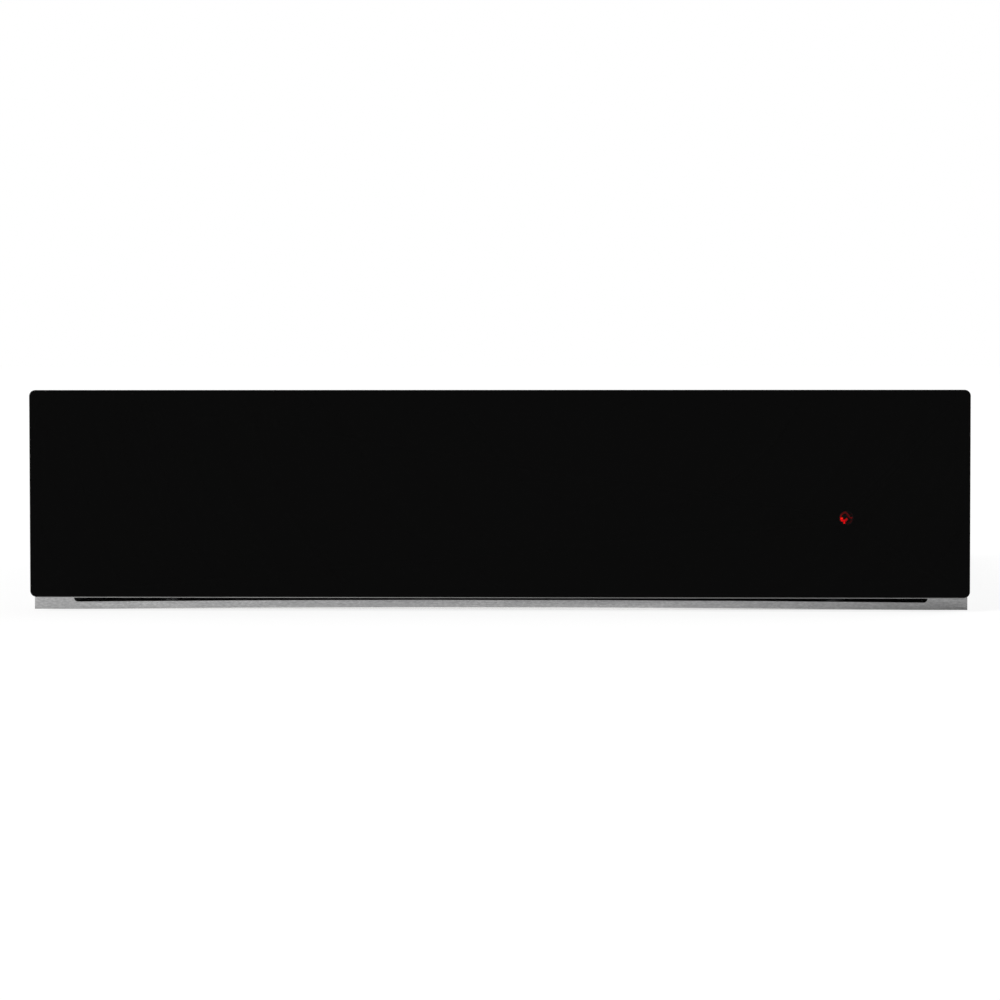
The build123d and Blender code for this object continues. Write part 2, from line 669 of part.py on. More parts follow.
def rear_cover():
    """Back and top of the fan room, with the heater's two feed holes."""
    cover = block(-INTERIOR_X, INTERIOR_X, COVER_Y, DRAWER_BACK, FLOOR_Z, RIM_Z)
    cover += block(-INTERIOR_X, INTERIOR_X, REAR_WALL_Y, DRAWER_BACK, RIM_Z, DRAWER_TOP)
    for side in (-1, 1):
        z = FAN_Z - ELEMENT_HALF_H
        cover -= rod_y(side * ELEMENT_FEED, z, ELEMENT_R + FIT, COVER_Y, DRAWER_BACK)
    return cover


# ---- Fan and heater ----
WHEEL_Y = FAN_ROOM_Y + FAN_GAP
WHEEL_BACK = WHEEL_Y + FAN_W
MOTOR_Y = COVER_Y - MOTOR_L


def fan_wheel():
    """Radial wheel: hub, back disc, blades and front ring."""
    wheel = rod_y(0, FAN_Z, FAN_R, WHEEL_BACK - FAN_SHEET, WHEEL_BACK)
    wheel += rod_y(0, FAN_Z, FAN_HUB_R, WHEEL_Y + FAN_SHEET, WHEEL_BACK)
    ring = Pos(0, FAN_Z) * (Circle(FAN_R) - Circle(FAN_R - FAN_BLADE_L / 2))
    wheel += prism_y(ring, WHEEL_Y, WHEEL_Y + FAN_SHEET)
    middle = (WHEEL_Y + WHEEL_BACK) / 2
    radius = FAN_R - FAN_BLADE_L / 2 - FAN_SHEET / 2
    blade = Box(FAN_BLADE_L, FAN_W - FAN_SHEET, FAN_SHEET)
    for k in range(FAN_BLADES):
        turn = Rot(0, 360 / FAN_BLADES * k, 0)
        wheel += Pos(0, middle, FAN_Z) * turn * Pos(radius, 0, 0) * Rot(0, 20, 0) * blade
    return wheel - rod_y(0, FAN_Z, FAN_SHAFT_R, WHEEL_Y, WHEEL_BACK)


def fan_shaft():
    return rod_y(0, FAN_Z, FAN_SHAFT_R, WHEEL_Y + FAN_SHEET, MOTOR_Y + MOTOR_L / 2)


def fan_motor():
    motor = rod_y(0, FAN_Z, MOTOR_R, MOTOR_Y, COVER_Y)
    motor = chamfer(motor.edges().filter_by(GeomType.CIRCLE).sort_by(Axis.Y)[0], 1.5)
    motor += rod_y(0, FAN_Z, MOTOR_FLANGE_R, COVER_Y - MOTOR_FLANGE_T, COVER_Y)
    bore_end = MOTOR_Y + MOTOR_L / 2 + 2 * FIT
    return motor - rod_y(0, FAN_Z, FAN_SHAFT_R + RUN_FIT, MOTOR_Y, bore_end)


def heating_element():
    """Tubular heater looped round the fan, both ends through the cover."""
    y = (WHEEL_Y + WHEEL_BACK) / 2
    low = FAN_Z - ELEMENT_HALF_H
    high = FAN_Z + ELEMENT_HALF_H
    end = DRAWER_BACK + ELEMENT_TAIL
    points = [
        (-ELEMENT_FEED, end, low),
        (-ELEMENT_FEED, y, low),
        (-ELEMENT_HALF_W, y, low),
        (-ELEMENT_HALF_W, y, high),
        (ELEMENT_HALF_W, y, high),
        (ELEMENT_HALF_W, y, low),
        (ELEMENT_FEED, y, low),
        (ELEMENT_FEED, end, low),
    ]
    bends = [ELEMENT_FEED_BEND] + [ELEMENT_BEND] * 4 + [ELEMENT_FEED_BEND]
    path = FilletPolyline(*points, radius=bends)
    return sweep(Plane(path ^ 0) * Circle(ELEMENT_R), path=path)


def thermal_cutout():
    x = INTERIOR_X - CUTOUT_IN
    can = rod_y(x, FAN_Z, CUTOUT_R, COVER_Y - CUTOUT_L, COVER_Y)
    flange_y = COVER_Y - MOTOR_FLANGE_T
    reach = CUTOUT_R * 1.7
    height = CUTOUT_R / 2
    return can + block(x - reach, x + reach, flange_y, COVER_Y, FAN_Z - height, FAN_Z + height)


# ---- Controls ----
def control_housing():
    """Folded wall round the controls: its left side and its rear side."""
    x1 = CONTROL_X + DRAWER_SHEET
    wall = block(CONTROL_X, x1, FRONT_WALL_Y, CONTROL_Y, FLOOR_Z, FASCIA_Z)
    return wall + block(x1, INTERIOR_X, CONTROL_Y - DRAWER_SHEET, CONTROL_Y, FLOOR_Z, FASCIA_Z)


def control_fascia():
    """Plate over the controls, with the holes of the shaft and the switch."""
    fascia = block(CONTROL_X, INTERIOR_X, FRONT_WALL_Y, CONTROL_Y, FASCIA_Z, FASCIA_TOP)
    fascia -= rod_z(KNOB_X, KNOB_Y, SHAFT_R + 4 * FIT, FASCIA_Z, FASCIA_TOP)
    half_w = SWITCH_W / 2 + FIT
    half_l = SWITCH_L / 2 + FIT
    return fascia - block(
        SWITCH_X - half_w, SWITCH_X + half_w, KNOB_Y - half_l, KNOB_Y + half_l, FASCIA_Z, FASCIA_TOP
    )


SHAFT_LOW = FASCIA_Z - THERMOSTAT_H / 2
SHAFT_TOP = KNOB_Z + KNOB_H - 4.0


def thermostat():
    body = rod_z(KNOB_X, KNOB_Y, THERMOSTAT_R, FASCIA_Z - THERMOSTAT_H, FASCIA_Z)
    return body - rod_z(KNOB_X, KNOB_Y, SHAFT_R + RUN_FIT, SHAFT_LOW - 2 * FIT, FASCIA_Z)


def thermostat_shaft():
    return rod_z(KNOB_X, KNOB_Y, SHAFT_R, SHAFT_LOW, SHAFT_TOP)


def thermostat_knob():
    """Fluted knob with a raised pointer, pressed on its shaft."""
    top = KNOB_Z + KNOB_H
    knob = rod_z(KNOB_X, KNOB_Y, KNOB_R, KNOB_Z, top)
    edge = knob.edges().filter_by(GeomType.CIRCLE).sort_by(Axis.Z)[-1]
    knob = fillet(edge, 1.5)
    for k in range(KNOB_FLUTES):
        angle = 2 * math.pi * (k + 0.5) / KNOB_FLUTES
        x = KNOB_X + (KNOB_R + 0.6) * math.cos(angle)
        y = KNOB_Y + (KNOB_R + 0.6) * math.sin(angle)
        knob -= rod_z(x, y, 1.3, KNOB_Z + 2, top)
    knob += block(KNOB_X - 1, KNOB_X + 1, KNOB_Y - KNOB_R + 1.5, KNOB_Y - 4, top - 1, top + 0.8)
    return knob - rod_z(KNOB_X, KNOB_Y, SHAFT_R, KNOB_Z, SHAFT_TOP)


ROCKER_Z = FASCIA_TOP + BEZEL_T - 3.0  # height of the rocker's pin


def switch_body():
    """Housing of the rocker switch: bezel on the fascia, open well inside."""
    half_w = SWITCH_W / 2
    half_l = SWITCH_L / 2
    top = FASCIA_TOP + BEZEL_T
    low = FASCIA_TOP - SWITCH_DEPTH
    body = block(SWITCH_X - half_w, SWITCH_X + half_w, KNOB_Y - half_l, KNOB_Y + half_l, low, top)
    wide = half_w + BEZEL_EDGE
    long = half_l + BEZEL_EDGE
    body += block(SWITCH_X - wide, SWITCH_X + wide, KNOB_Y - long, KNOB_Y + long, FASCIA_TOP, top)
    in_w = half_w - SWITCH_WALL
    in_l = half_l - SWITCH_WALL
    floor = low + 2 * SWITCH_WALL
    body -= block(SWITCH_X - in_w, SWITCH_X + in_w, KNOB_Y - in_l, KNOB_Y + in_l, floor, top)
    pin_half = half_w - SWITCH_WALL / 2
    pin_hole = rod_x(KNOB_Y, ROCKER_Z, ROCKER_PIN_R + RUN_FIT, -pin_half, pin_half)
    return body - Pos(SWITCH_X, 0, 0) * pin_hole


def rocker():
    """Rocker with two sloping halves, its front half pressed down at rest."""
    half_l = SWITCH_L / 2 - SWITCH_WALL - 3 * ROCKER_GAP
    half_w = SWITCH_W / 2 - SWITCH_WALL - ROCKER_GAP
    rise = 3.6
    outline = Polyline(
        (-half_l, rise),
        (0, rise + half_l * math.tan(math.radians(-ROCKER_TILT))),
        (half_l, rise),
        (half_l * 0.9, -2.5),
        (0, -4.5),
        (-half_l * 0.9, -2.5),
        close=True,
    )
    body = prism_x(make_face(outline), -half_w, half_w)
    pin_half = SWITCH_W / 2 - SWITCH_WALL / 2 - FIT
    body += rod_x(0, 0, ROCKER_PIN_R, -pin_half, pin_half)
    return Pos(SWITCH_X, KNOB_Y, ROCKER_Z) * Rot(ROCKER_TILT, 0, 0) * body


def lamp_holder():
    """Cup through the front panel, kept in by the drawer's front wall."""
    cup = rod_y(LAMP_X, LAMP_Z, HOLDER_R, CARRIER_Y, PANEL_Y)
    cup -= rod_y(LAMP_X, LAMP_Z, LED_R + RUN_FIT, CARRIER_Y, PANEL_Y - HOLDER_BASE)
    return cup - rod_y(LAMP_X, LAMP_Z, LEAD_HOLE_R, PANEL_Y - HOLDER_BASE, PANEL_Y)


def indicator_led():
    return rod_y(LAMP_X, LAMP_Z, LED_R, CARRIER_Y, CARRIER_Y + LED_L)


# ---- Rails ----
def rail_strip(u0, u1, w0, w1):
    """Rectangle in a rail's section: u from the side panel, w from its middle."""
    middle = Pos(WALL_X - (u0 + u1) / 2, RAIL_Z + (w0 + w1) / 2)
    return middle * Rectangle(abs(u1 - u0), abs(w1 - w0))


def c_section(web_u, web_t, tip_u, half_h, flange_t):
    """C-shaped section with its web at web_u and flanges running to tip_u."""
    section = rail_strip(web_u, web_u + web_t, -half_h, half_h)
    low_u = min(web_u, tip_u)
    high_u = max(web_u + web_t, tip_u)
    section += rail_strip(low_u, high_u, half_h - flange_t, half_h)
    return section + rail_strip(low_u, high_u, -half_h, -half_h + flange_t)


def ball_grooves(ball_w):
    """The two grooves that a cage's balls run in."""
    x = WALL_X - BALL_U
    radius = BALL_R + BALL_ROOM
    return [Pos(x, RAIL_Z + up * ball_w) * Circle(radius) for up in (-1, 1)]


def rail_member(section, grooves):
    for groove in grooves:
        section -= groove
    return prism_y(section, RAIL_Y, RAIL_END)


def rail_outer():
    section = c_section(0, RAIL_STEEL, FLANGE_TIP_U, RAIL_H / 2, OUTER_FLANGE_T)
    return rail_member(section, ball_grooves(OUTER_BALL_W))


def rail_middle():
    section = c_section(MIDDLE_U, RAIL_STEEL, FLANGE_TIP_U, MIDDLE_HALF, MIDDLE_FLANGE_T)
    return rail_member(section, ball_grooves(OUTER_BALL_W) + ball_grooves(INNER_BALL_W))


def rail_inner():
    web_u = RAIL_T - RAIL_STEEL
    section = c_section(web_u, RAIL_STEEL, INNER_TIP_U, INNER_HALF, RAIL_STEEL)
    return rail_member(section, ball_grooves(INNER_BALL_W))


def ball_rows():
    """Places of a cage's balls along the rail."""
    middle = RAIL_Y + CAGE_FRONT + CAGE_LENGTH / 2
    return [middle + (k - (BALLS - 1) / 2) * BALL_PITCH for k in range(BALLS)]


def ball_cage(web_u, ball_w):
    section = c_section(web_u, CAGE_T, BALL_U + CAGE_EDGE, ball_w + CAGE_T / 2, CAGE_T)
    cage = prism_y(section, RAIL_Y + CAGE_FRONT, RAIL_Y + CAGE_FRONT + CAGE_LENGTH)
    for y in ball_rows():
        for up in (-1, 1):
            z = RAIL_Z + up * ball_w
            cage -= rod_z(WALL_X - BALL_U, y, BALL_R + FIT, z - CAGE_T, z + CAGE_T)
    return cage


def cage_balls(ball_w):
    balls = []
    for y in ball_rows():
        for up in (-1, 1):
            balls.append(Pos(WALL_X - BALL_U, y, RAIL_Z + up * ball_w) * Sphere(BALL_R))
    return Compound(balls)


# ---- Touch latch ----
def latch_housing():
    """Channel with a slot in its top, screwed to the base by two ears."""
    half = LATCH_W / 2
    top = SHEET + LATCH_H
    housing = block(-half, half, LATCH_Y, LATCH_END, SHEET, top)
    inner = half - LATCH_WALL
    rear = LATCH_END - LATCH_WALL
    housing -= block(-inner, inner, LATCH_Y, rear, LATCH_FLOOR, top - LATCH_WALL)
    housing -= block(-LATCH_SLOT / 2, LATCH_SLOT / 2, LATCH_Y, rear, LATCH_FLOOR, top)
    middle = LATCH_Y + LATCH_L / 2
    for side in (-1, 1):
        ear = (side * half, side * (half + LATCH_EAR))
        housing += block(*ear, middle - LATCH_EAR, middle + LATCH_EAR, SHEET, LATCH_FLOOR)
    for x, y in EAR_SCREWS:
        housing -= rod_z(x, y, SCREW_HOLE_R, SHEET, LATCH_FLOOR)
    return housing


def latch_slider():
    """Block that slides in the latch, with a pocket for its spring."""
    half = LATCH_W / 2 - LATCH_WALL - SLIDE_FIT
    slider = block(-half, half, SLIDER_Y, SLIDER_END, SLIDER_Z, SLIDER_Z + SLIDER_H)
    pocket_y = SLIDER_END - SPRING_POCKET
    return slider - rod_y(0, SLIDER_MID, SPRING_R + SLIDE_FIT, pocket_y, SLIDER_END)


def latch_spring():
    """Compression spring between the slider and the latch's rear wall."""
    ring = Circle(SPRING_R) - Circle(SPRING_R - SPRING_WIRE)
    rear = LATCH_END - LATCH_WALL
    return prism_y(Pos(0, SLIDER_MID) * ring, SLIDER_END - SPRING_POCKET, rear)


def latch_jaws():
    """Two springy arms on the slider, hooked over the striker's head."""
    z0 = SLIDER_MID - JAW_H / 2
    z1 = SLIDER_MID + JAW_H / 2
    inner = HEAD_W / 2 + SLIDE_FIT
    outer = inner + JAW_T
    jaws = block(-outer, outer, SLIDER_Y - JAW_T, SLIDER_Y, z0, z1)
    hook_x = NECK_W / 2 + 2 * SLIDE_FIT
    for side in (-1, 1):
        jaws += block(side * inner, side * outer, JAW_Y, SLIDER_Y, z0, z1)
        jaws += block(side * hook_x, side * inner, JAW_Y, JAW_Y + HOOK_L, z0, z1)
    return jaws


def latch_striker():
    """Plate, post, neck and head under the drawer's floor."""
    post_end = LATCH_Y - PUSH_IN - 2 * SLIDE_FIT
    post_y = post_end - STRIKER_POST_L
    plate_z = DRAWER_Z - STRIKER_PLATE_T
    z0 = SLIDER_MID - HEAD_H / 2
    z1 = SLIDER_MID + HEAD_H / 2
    half = STRIKER_PLATE_W / 2
    neck = NECK_W / 2
    striker = block(-half, half, post_end - STRIKER_PLATE_L, post_end, plate_z, DRAWER_Z)
    striker += block(-neck, neck, post_y, post_end, z0, plate_z)
    striker += block(-neck, neck, post_end, HEAD_Y, z0, z1)
    return striker + block(-HEAD_W / 2, HEAD_W / 2, HEAD_Y, HEAD_END, z0, z1)


# ---- Every node ----
def all_nodes():
    nodes = {
        "base_pan": base_pan(),
        "rear_panel": rear_panel(),
        "top_cover": top_cover(),
        "ceiling_plate": ceiling_plate(),
        "ceiling_insulation": ceiling_insulation(),
        "front_frame": front_frame(),
        "niche_seal": niche_seal(),
        "casing_screws": casing_screws(),
        "terminal_box": terminal_box(),
        "terminal_lid": terminal_lid(),
        "terminal_block": terminal_block(),
        "cable_gland": cable_gland(),
        "cable_bush": cable_bush(),
        "coil_cable": coil_cable(),
        "cable_anchor": cable_anchor(),
        "front_glass": front_glass(),
        "front_print": front_print(),
        "front_carrier": front_carrier(),
        "front_insulation": front_insulation(),
        "inner_panel": inner_panel(),
        "drawer_screws": drawer_screws(),
        "drawer_box": drawer_box(),
        "drawer_mat": drawer_mat(),
        "rear_wall": rear_wall(),
        "rear_cover": rear_cover(),
        "fan_wheel": fan_wheel(),
        "fan_shaft": fan_shaft(),
        "fan_motor": fan_motor(),
        "heating_element": heating_element(),
        "thermal_cutout": thermal_cutout(),
        "control_housing": control_housing(),
        "control_fascia": control_fascia(),
        "thermostat": thermostat(),
        "thermostat_shaft": thermostat_shaft(),
        "thermostat_knob": thermostat_knob(),
        "switch_body": switch_body(),
        "rocker": rocker(),
        "lamp_holder": lamp_holder(),
        "indicator_led": indicator_led(),
        "latch_housing": latch_housing(),
        "latch_slider": latch_slider(),
        "latch_spring": latch_spring(),
        "latch_jaws": latch_jaws(),
        "latch_striker": latch_striker(),
    }
    right_hand = {
        "side_panel": side_panel(),
        "rail_outer": rail_outer(),
        "rail_middle": rail_middle(),
        "rail_inner": rail_inner(),
        "ball_cage_outer": ball_cage(OUTER_CAGE_U, OUTER_BALL_W),
        "ball_cage_inner": ball_cage(INNER_CAGE_U, INNER_BALL_W),
        "balls_outer": cage_balls(OUTER_BALL_W),
        "balls_inner": cage_balls(INNER_BALL_W),
    }
    for name, shape in right_hand.items():
        for side_name, side in SIDES:
            nodes[f"{name}_{side_name}"] = on_side(shape, side)
    return nodes


os.makedirs("parts", exist_ok=True)
for node, shape in all_nodes().items():
    export_step(shape, f"parts/{node}.step")
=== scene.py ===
import json
import math

import bmesh
import bpy
from mathutils import Matrix, Quaternion, Vector


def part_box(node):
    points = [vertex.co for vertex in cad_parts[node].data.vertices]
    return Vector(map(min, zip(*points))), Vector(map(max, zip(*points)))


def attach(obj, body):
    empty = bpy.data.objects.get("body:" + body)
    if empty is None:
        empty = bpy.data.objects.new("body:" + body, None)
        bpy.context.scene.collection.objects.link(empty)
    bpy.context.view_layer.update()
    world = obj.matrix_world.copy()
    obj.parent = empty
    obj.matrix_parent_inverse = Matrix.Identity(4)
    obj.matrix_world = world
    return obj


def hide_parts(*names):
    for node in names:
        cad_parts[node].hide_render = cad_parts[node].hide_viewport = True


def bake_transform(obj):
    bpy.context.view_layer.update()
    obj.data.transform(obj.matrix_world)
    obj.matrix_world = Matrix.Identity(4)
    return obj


# Looks of the built-in warming drawer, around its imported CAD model. Metres, in
# the model's own frame: +X to the right, the front faces -Y, +Z up.

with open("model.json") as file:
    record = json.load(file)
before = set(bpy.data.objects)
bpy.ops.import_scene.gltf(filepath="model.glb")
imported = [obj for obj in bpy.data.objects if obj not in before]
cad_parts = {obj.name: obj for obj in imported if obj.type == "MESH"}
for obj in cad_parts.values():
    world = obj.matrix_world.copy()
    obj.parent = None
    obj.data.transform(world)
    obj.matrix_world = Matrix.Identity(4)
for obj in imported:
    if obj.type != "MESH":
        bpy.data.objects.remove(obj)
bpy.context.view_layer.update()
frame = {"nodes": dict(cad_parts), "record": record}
NODES = frame["nodes"]
X_AXIS, Y_AXIS, Z_AXIS = Vector((1, 0, 0)), Vector((0, 1, 0)), Vector((0, 0, 1))


def middle(node):
    low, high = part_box(node)
    return (low + high) / 2


# ---- Camera ----
SHOT_AIM = Vector((0.0011, -0.274, 0.0706))
SHOT_DISTANCE = 2.539
SHOT_YAW = math.radians(1.856)
SHOT_PITCH = math.radians(2.496)
SHOT_ROLL = math.radians(-0.0515)
SHOT_LENS = 144.856


def make_camera():
    level = math.cos(SHOT_PITCH)
    back = Vector((math.sin(SHOT_YAW) * level, -math.cos(SHOT_YAW) * level, math.sin(SHOT_PITCH)))
    camera = bpy.data.objects.new("camera", bpy.data.cameras.new("camera"))
    camera.data.lens = SHOT_LENS
    camera.data.sensor_width = 36
    camera.data.clip_start = 0.05
    camera.location = SHOT_AIM + SHOT_DISTANCE * back
    camera.rotation_mode = "QUATERNION"
    camera.rotation_quaternion = back.to_track_quat("Z", "Y") @ Quaternion(Z_AXIS, SHOT_ROLL)
    bpy.context.scene.collection.objects.link(camera)
    bpy.context.scene.camera = camera


# ---- Materials ----
class Finish:
    """A Principled material, and the detail added to it in the object's own space."""

    def __init__(self, name, colour, roughness, metallic=0.0, **settings):
        self.material = bpy.data.materials.new(name)
        self.material.use_nodes = True
        self.nodes = self.material.node_tree.nodes
        self.links = self.material.node_tree.links
        self.shader = self.nodes["Principled BSDF"]
        self.shader.inputs["Base Color"].default_value = (*colour, 1)
        self.shader.inputs["Roughness"].default_value = roughness
        self.shader.inputs["Metallic"].default_value = metallic
        for socket, value in settings.items():
            self.shader.inputs[socket.replace("_", " ")].default_value = value
        self.place = self.nodes.new("ShaderNodeTexCoord").outputs["Object"]
        self.normal = None

    def feed(self, socket, value):
        """Links the input to another node's output, or sets it to a plain value."""
        if isinstance(value, bpy.types.NodeSocket):
            self.links.new(value, socket)
        else:
            socket.default_value = value

    def node(self, kind, **inputs):
        made = self.nodes.new(kind)
        for socket, value in inputs.items():
            self.feed(made.inputs[socket], value)
        return made

    def maths(self, kind, operation, *values):
        """Outputs of a maths node that takes the values in order."""
        made = self.nodes.new(kind)
        made.operation = operation
        for socket, value in zip(made.inputs, values):
            self.feed(socket, value)
        return made.outputs

    def mix(self, data_type, factor, first, second):
        made = self.nodes.new("ShaderNodeMix")
        made.data_type = data_type
        for name, value in (("Factor", factor), ("A", first), ("B", second)):
            self.feed(made.inputs[name], value)
        return made.outputs["Result"]

    def blended(self, factor, *colours):
        """Mix of two colours, each a triple or an output."""
        pair = [c if isinstance(c, bpy.types.NodeSocket) else (*c, 1) for c in colours]
        return self.mix("RGBA", factor, *pair)

    def between(self, factor, first, second):
        """Mix of two numbers, each plain or an output."""
        return self.mix("FLOAT", factor, first, second)

    def stretched(self, per_metre):
        """Object space with that many features per metre, on all axes or on each one."""
        scale = per_metre if isinstance(per_metre, tuple) else (per_metre,) * 3
        return self.node("ShaderNodeMapping", Vector=self.place, Scale=scale).outputs[0]

    def noise(self, per_metre, detail=3.0, rough=0.5):
        settings = {"Scale": 1.0, "Detail": detail, "Roughness": rough}
        made = self.node("ShaderNodeTexNoise", Vector=self.stretched(per_metre), **settings)
        return made.outputs["Fac"]

    def span(self, value, low, high, start=0.3, end=0.7):
        """Runs from low to high while the value runs from start to end."""
        limits = {"From Min": start, "From Max": end, "To Min": low, "To Max": high}
        return self.node("ShaderNodeMapRange", Value=value, **limits).outputs[0]

    def forward(self):
        """1 on faces that look forward or back, 0 on the sides, top and bottom."""
        face = self.node("ShaderNodeNewGeometry").outputs["True Normal"]
        direction = self.node("ShaderNodeSeparateXYZ", Vector=face)
        return self.maths("ShaderNodeMath", "ABSOLUTE", direction.outputs["Y"])[0]

    def paint(self, factor, first, second):
        colour = self.blended(factor, first, second)
        self.links.new(colour, self.shader.inputs["Base Color"])

    def polish(self, value, low, high):
        self.links.new(self.span(value, low, high), self.shader.inputs["Roughness"])

    def use_normal_of(self, made):
        """Makes a bump or bevel node's normal the shader's."""
        self.normal = made.outputs["Normal"]
        self.links.new(self.normal, self.shader.inputs["Normal"])

    def relief(self, height, depth, strength=1.0):
        bump = self.node("ShaderNodeBump", Height=height, Distance=depth, Strength=strength)
        if self.normal:
            self.links.new(self.normal, bump.inputs["Normal"])
        self.use_normal_of(bump)

    def round_edges(self, radius):
        bevel = self.node("ShaderNodeBevel", Radius=radius)
        bevel.samples = 4
        self.use_normal_of(bevel)


def tone(colour, factor):
    return tuple(min(1.0, c * factor) for c in colour)


def black_glass():
    """Smoky clear glass whose ground edges are painted black and unreflecting, as painted shade;
    the black comes from the print behind.
    """
    smoke = (0.30, 0.32, 0.33)
    f = Finish("black_glass", smoke, 0.02, IOR=1.5, Transmission_Weight=1.0)
    flat = f.span(f.forward(), 0, 1, start=0.9, end=0.99)
    # painted shade: off the flat front the glass turns into black metal that sends back almost no
    # light
    f.paint(flat, (0.002, 0.002, 0.002), smoke)
    f.feed(f.shader.inputs["Metallic"], f.between(flat, 1.0, 0.0))
    wiped = f.span(f.noise(9, 5), 0.008, 0.03)
    f.feed(f.shader.inputs["Roughness"], f.between(flat, 0.45, wiped))
    f.relief(f.noise((14, 14, 5), 1), 0.00003)
    return f.material


def black_print():
    f = Finish("black_print", (0.004, 0.004, 0.0045), 0.6)
    f.paint(f.noise(900, 2), (0.003, 0.003, 0.0035), (0.006, 0.006, 0.0065))
    f.relief(f.noise(2500), 0.00001)
    return f.material


def brushed_steel():
    """Visible frame: long brush strokes across, short ones between them and soft clouds.

    Its lowest 5 mm are painted darker towards the foot: painted shade, standing in for the darker
    reflection low on the bar.
    """
    f = Finish("brushed_steel", (0.56, 0.56, 0.56), 0.3, metallic=1.0)
    f.round_edges(0.00025)
    clouds = f.noise((14, 14, 420), 3, 0.6)
    strokes = f.noise((45, 45, 2600), 4, 0.65)
    short = f.noise((430, 430, 1050), 2, 0.6)
    height = f.node("ShaderNodeSeparateXYZ", Vector=f.place).outputs["Z"]
    base = f.blended(f.span(clouds, 0, 1), (0.53, 0.53, 0.535), (0.71, 0.71, 0.705))
    base = f.blended(f.span(short, 0, 0.66), base, (0.26, 0.26, 0.265))
    # painted shade: the colour darkens over the lowest 5 mm, towards the foot
    base = f.blended(f.span(height, 0.4, 0, start=0, end=0.005), base, (0.3, 0.3, 0.3))
    f.paint(f.span(strokes, 0, 0.4), base, (0.36, 0.36, 0.365))
    f.polish(strokes, 0.24, 0.4)
    f.relief(strokes, 0.00003, 0.7)
    return f.material


def stainless(name="stainless", shade=1.0):
    """Satin sheet, brushed across on faces that look forward and lengthwise on the rest."""
    # A shade below 1 makes a darker copy of the sheet: painted shade.
    f = Finish(name, tone((0.62, 0.62, 0.61), shade), 0.28, metallic=1.0)
    f.round_edges(0.0004)
    across = f.noise((25, 1500, 1500), 4, 0.6)
    lengthwise = f.noise((1500, 25, 1500), 4, 0.6)
    strokes = f.between(f.forward(), lengthwise, across)
    clouds = f.span(f.noise(7, 2), 0, 0.35)
    base = f.blended(clouds, tone((0.64, 0.64, 0.63), shade), tone((0.55, 0.55, 0.55), shade))
    f.paint(f.span(strokes, 0, 0.35), base, tone((0.5, 0.5, 0.5), shade))
    f.polish(strokes, 0.2, 0.36)
    f.relief(strokes, 0.00002, 0.6)
    return f.material


def galvanised():
    """Zinc coat with its spangle: crystals of different greys, a little dull."""
    f = Finish("galvanised", (0.55, 0.57, 0.58), 0.45, metallic=0.8)
    f.round_edges(0.0004)
    wander = f.node("ShaderNodeTexNoise", Vector=f.stretched(150), Scale=1.0).outputs["Color"]
    terms = (wander, (0.9, 0.9, 0.9), f.stretched(170))
    bent = f.maths("ShaderNodeVectorMath", "MULTIPLY_ADD", *terms)[0]
    cells = f.node("ShaderNodeTexVoronoi", Vector=bent, Scale=1.0)
    crystal = f.node("ShaderNodeSeparateColor", Color=cells.outputs["Color"]).outputs
    grain = f.noise(900, 2)
    shade = f.span(crystal["Red"], 0, 1, start=0, end=1)
    base = f.blended(shade, (0.5, 0.52, 0.53), (0.6, 0.62, 0.63))
    f.paint(f.span(grain, 0, 0.4), base, (0.52, 0.54, 0.55))
    f.polish(crystal["Green"], 0.4, 0.5)
    f.relief(crystal["Blue"], 0.00002, 0.5)
    f.relief(grain, 0.00003, 0.4)
    return f.material


def zinc_steel():
    """Bright zinc plating with a faint yellow and blue passivation, drawn lengthwise."""
    f = Finish("zinc_steel", (0.66, 0.66, 0.64), 0.25, metallic=1.0)
    f.round_edges(0.0002)
    patches = f.span(f.noise((35, 12, 35), 3), 0, 1)
    base = f.blended(patches, (0.68, 0.67, 0.61), (0.6, 0.64, 0.68))
    drawn = f.noise((1200, 18, 1200), 3)
    f.paint(f.span(drawn, 0, 0.4), base, (0.5, 0.51, 0.5))
    f.polish(drawn, 0.18, 0.34)
    f.relief(drawn, 0.00002, 0.5)
    return f.material


def bearing_steel():
    f = Finish("bearing_steel", (0.78, 0.78, 0.78), 0.07, metallic=1.0)
    f.paint(f.noise(700, 2), (0.72, 0.72, 0.73), (0.82, 0.82, 0.81))
    f.polish(f.noise(1500), 0.05, 0.12)
    return f.material


def mineral_wool():
    """Pressed wool board: crossing fibres over soft lumps."""
    f = Finish("mineral_wool", (0.72, 0.68, 0.52), 1.0, Sheen_Weight=0.3)
    flat = f.noise((900, 160, 900), 4, 0.7)
    upright = f.noise((160, 900, 160), 4, 0.7)
    lumps = f.span(f.noise(55, 3), 0, 1)
    base = f.blended(lumps, (0.62, 0.56, 0.36), (0.8, 0.76, 0.6))
    f.paint(f.span(flat, 0, 0.6), base, (0.5, 0.44, 0.27))
    f.relief(flat, 0.0004, 0.7)
    f.relief(upright, 0.0004, 0.7)
    return f.material


def rubber_mat():
    f = Finish("rubber_mat", (0.05, 0.05, 0.055), 0.65)
    f.paint(f.span(f.noise(40, 4), 0, 1), (0.036, 0.037, 0.04), (0.062, 0.063, 0.067))
    grain = f.noise(2200, 3, 0.6)
    f.polish(grain, 0.55, 0.78)
    f.relief(grain, 0.00006, 0.6)
    return f.material


def plastic(name, colour, roughness, grain_depth):
    """Moulded plastic: spark-eroded grain, slight shade changes and worn gloss."""
    f = Finish(name, colour, roughness)
    f.round_edges(0.0003)
    grain = f.node("ShaderNodeTexVoronoi", Vector=f.stretched(1900), Scale=1.0)
    shade = f.noise(60, 3)
    f.paint(f.span(shade, 0, 1), tone(colour, 0.86), tone(colour, 1.14))
    f.polish(f.noise(300, 3), roughness - 0.06, roughness + 0.08)
    f.relief(grain.outputs["Distance"], grain_depth, 0.6)
    return f.material


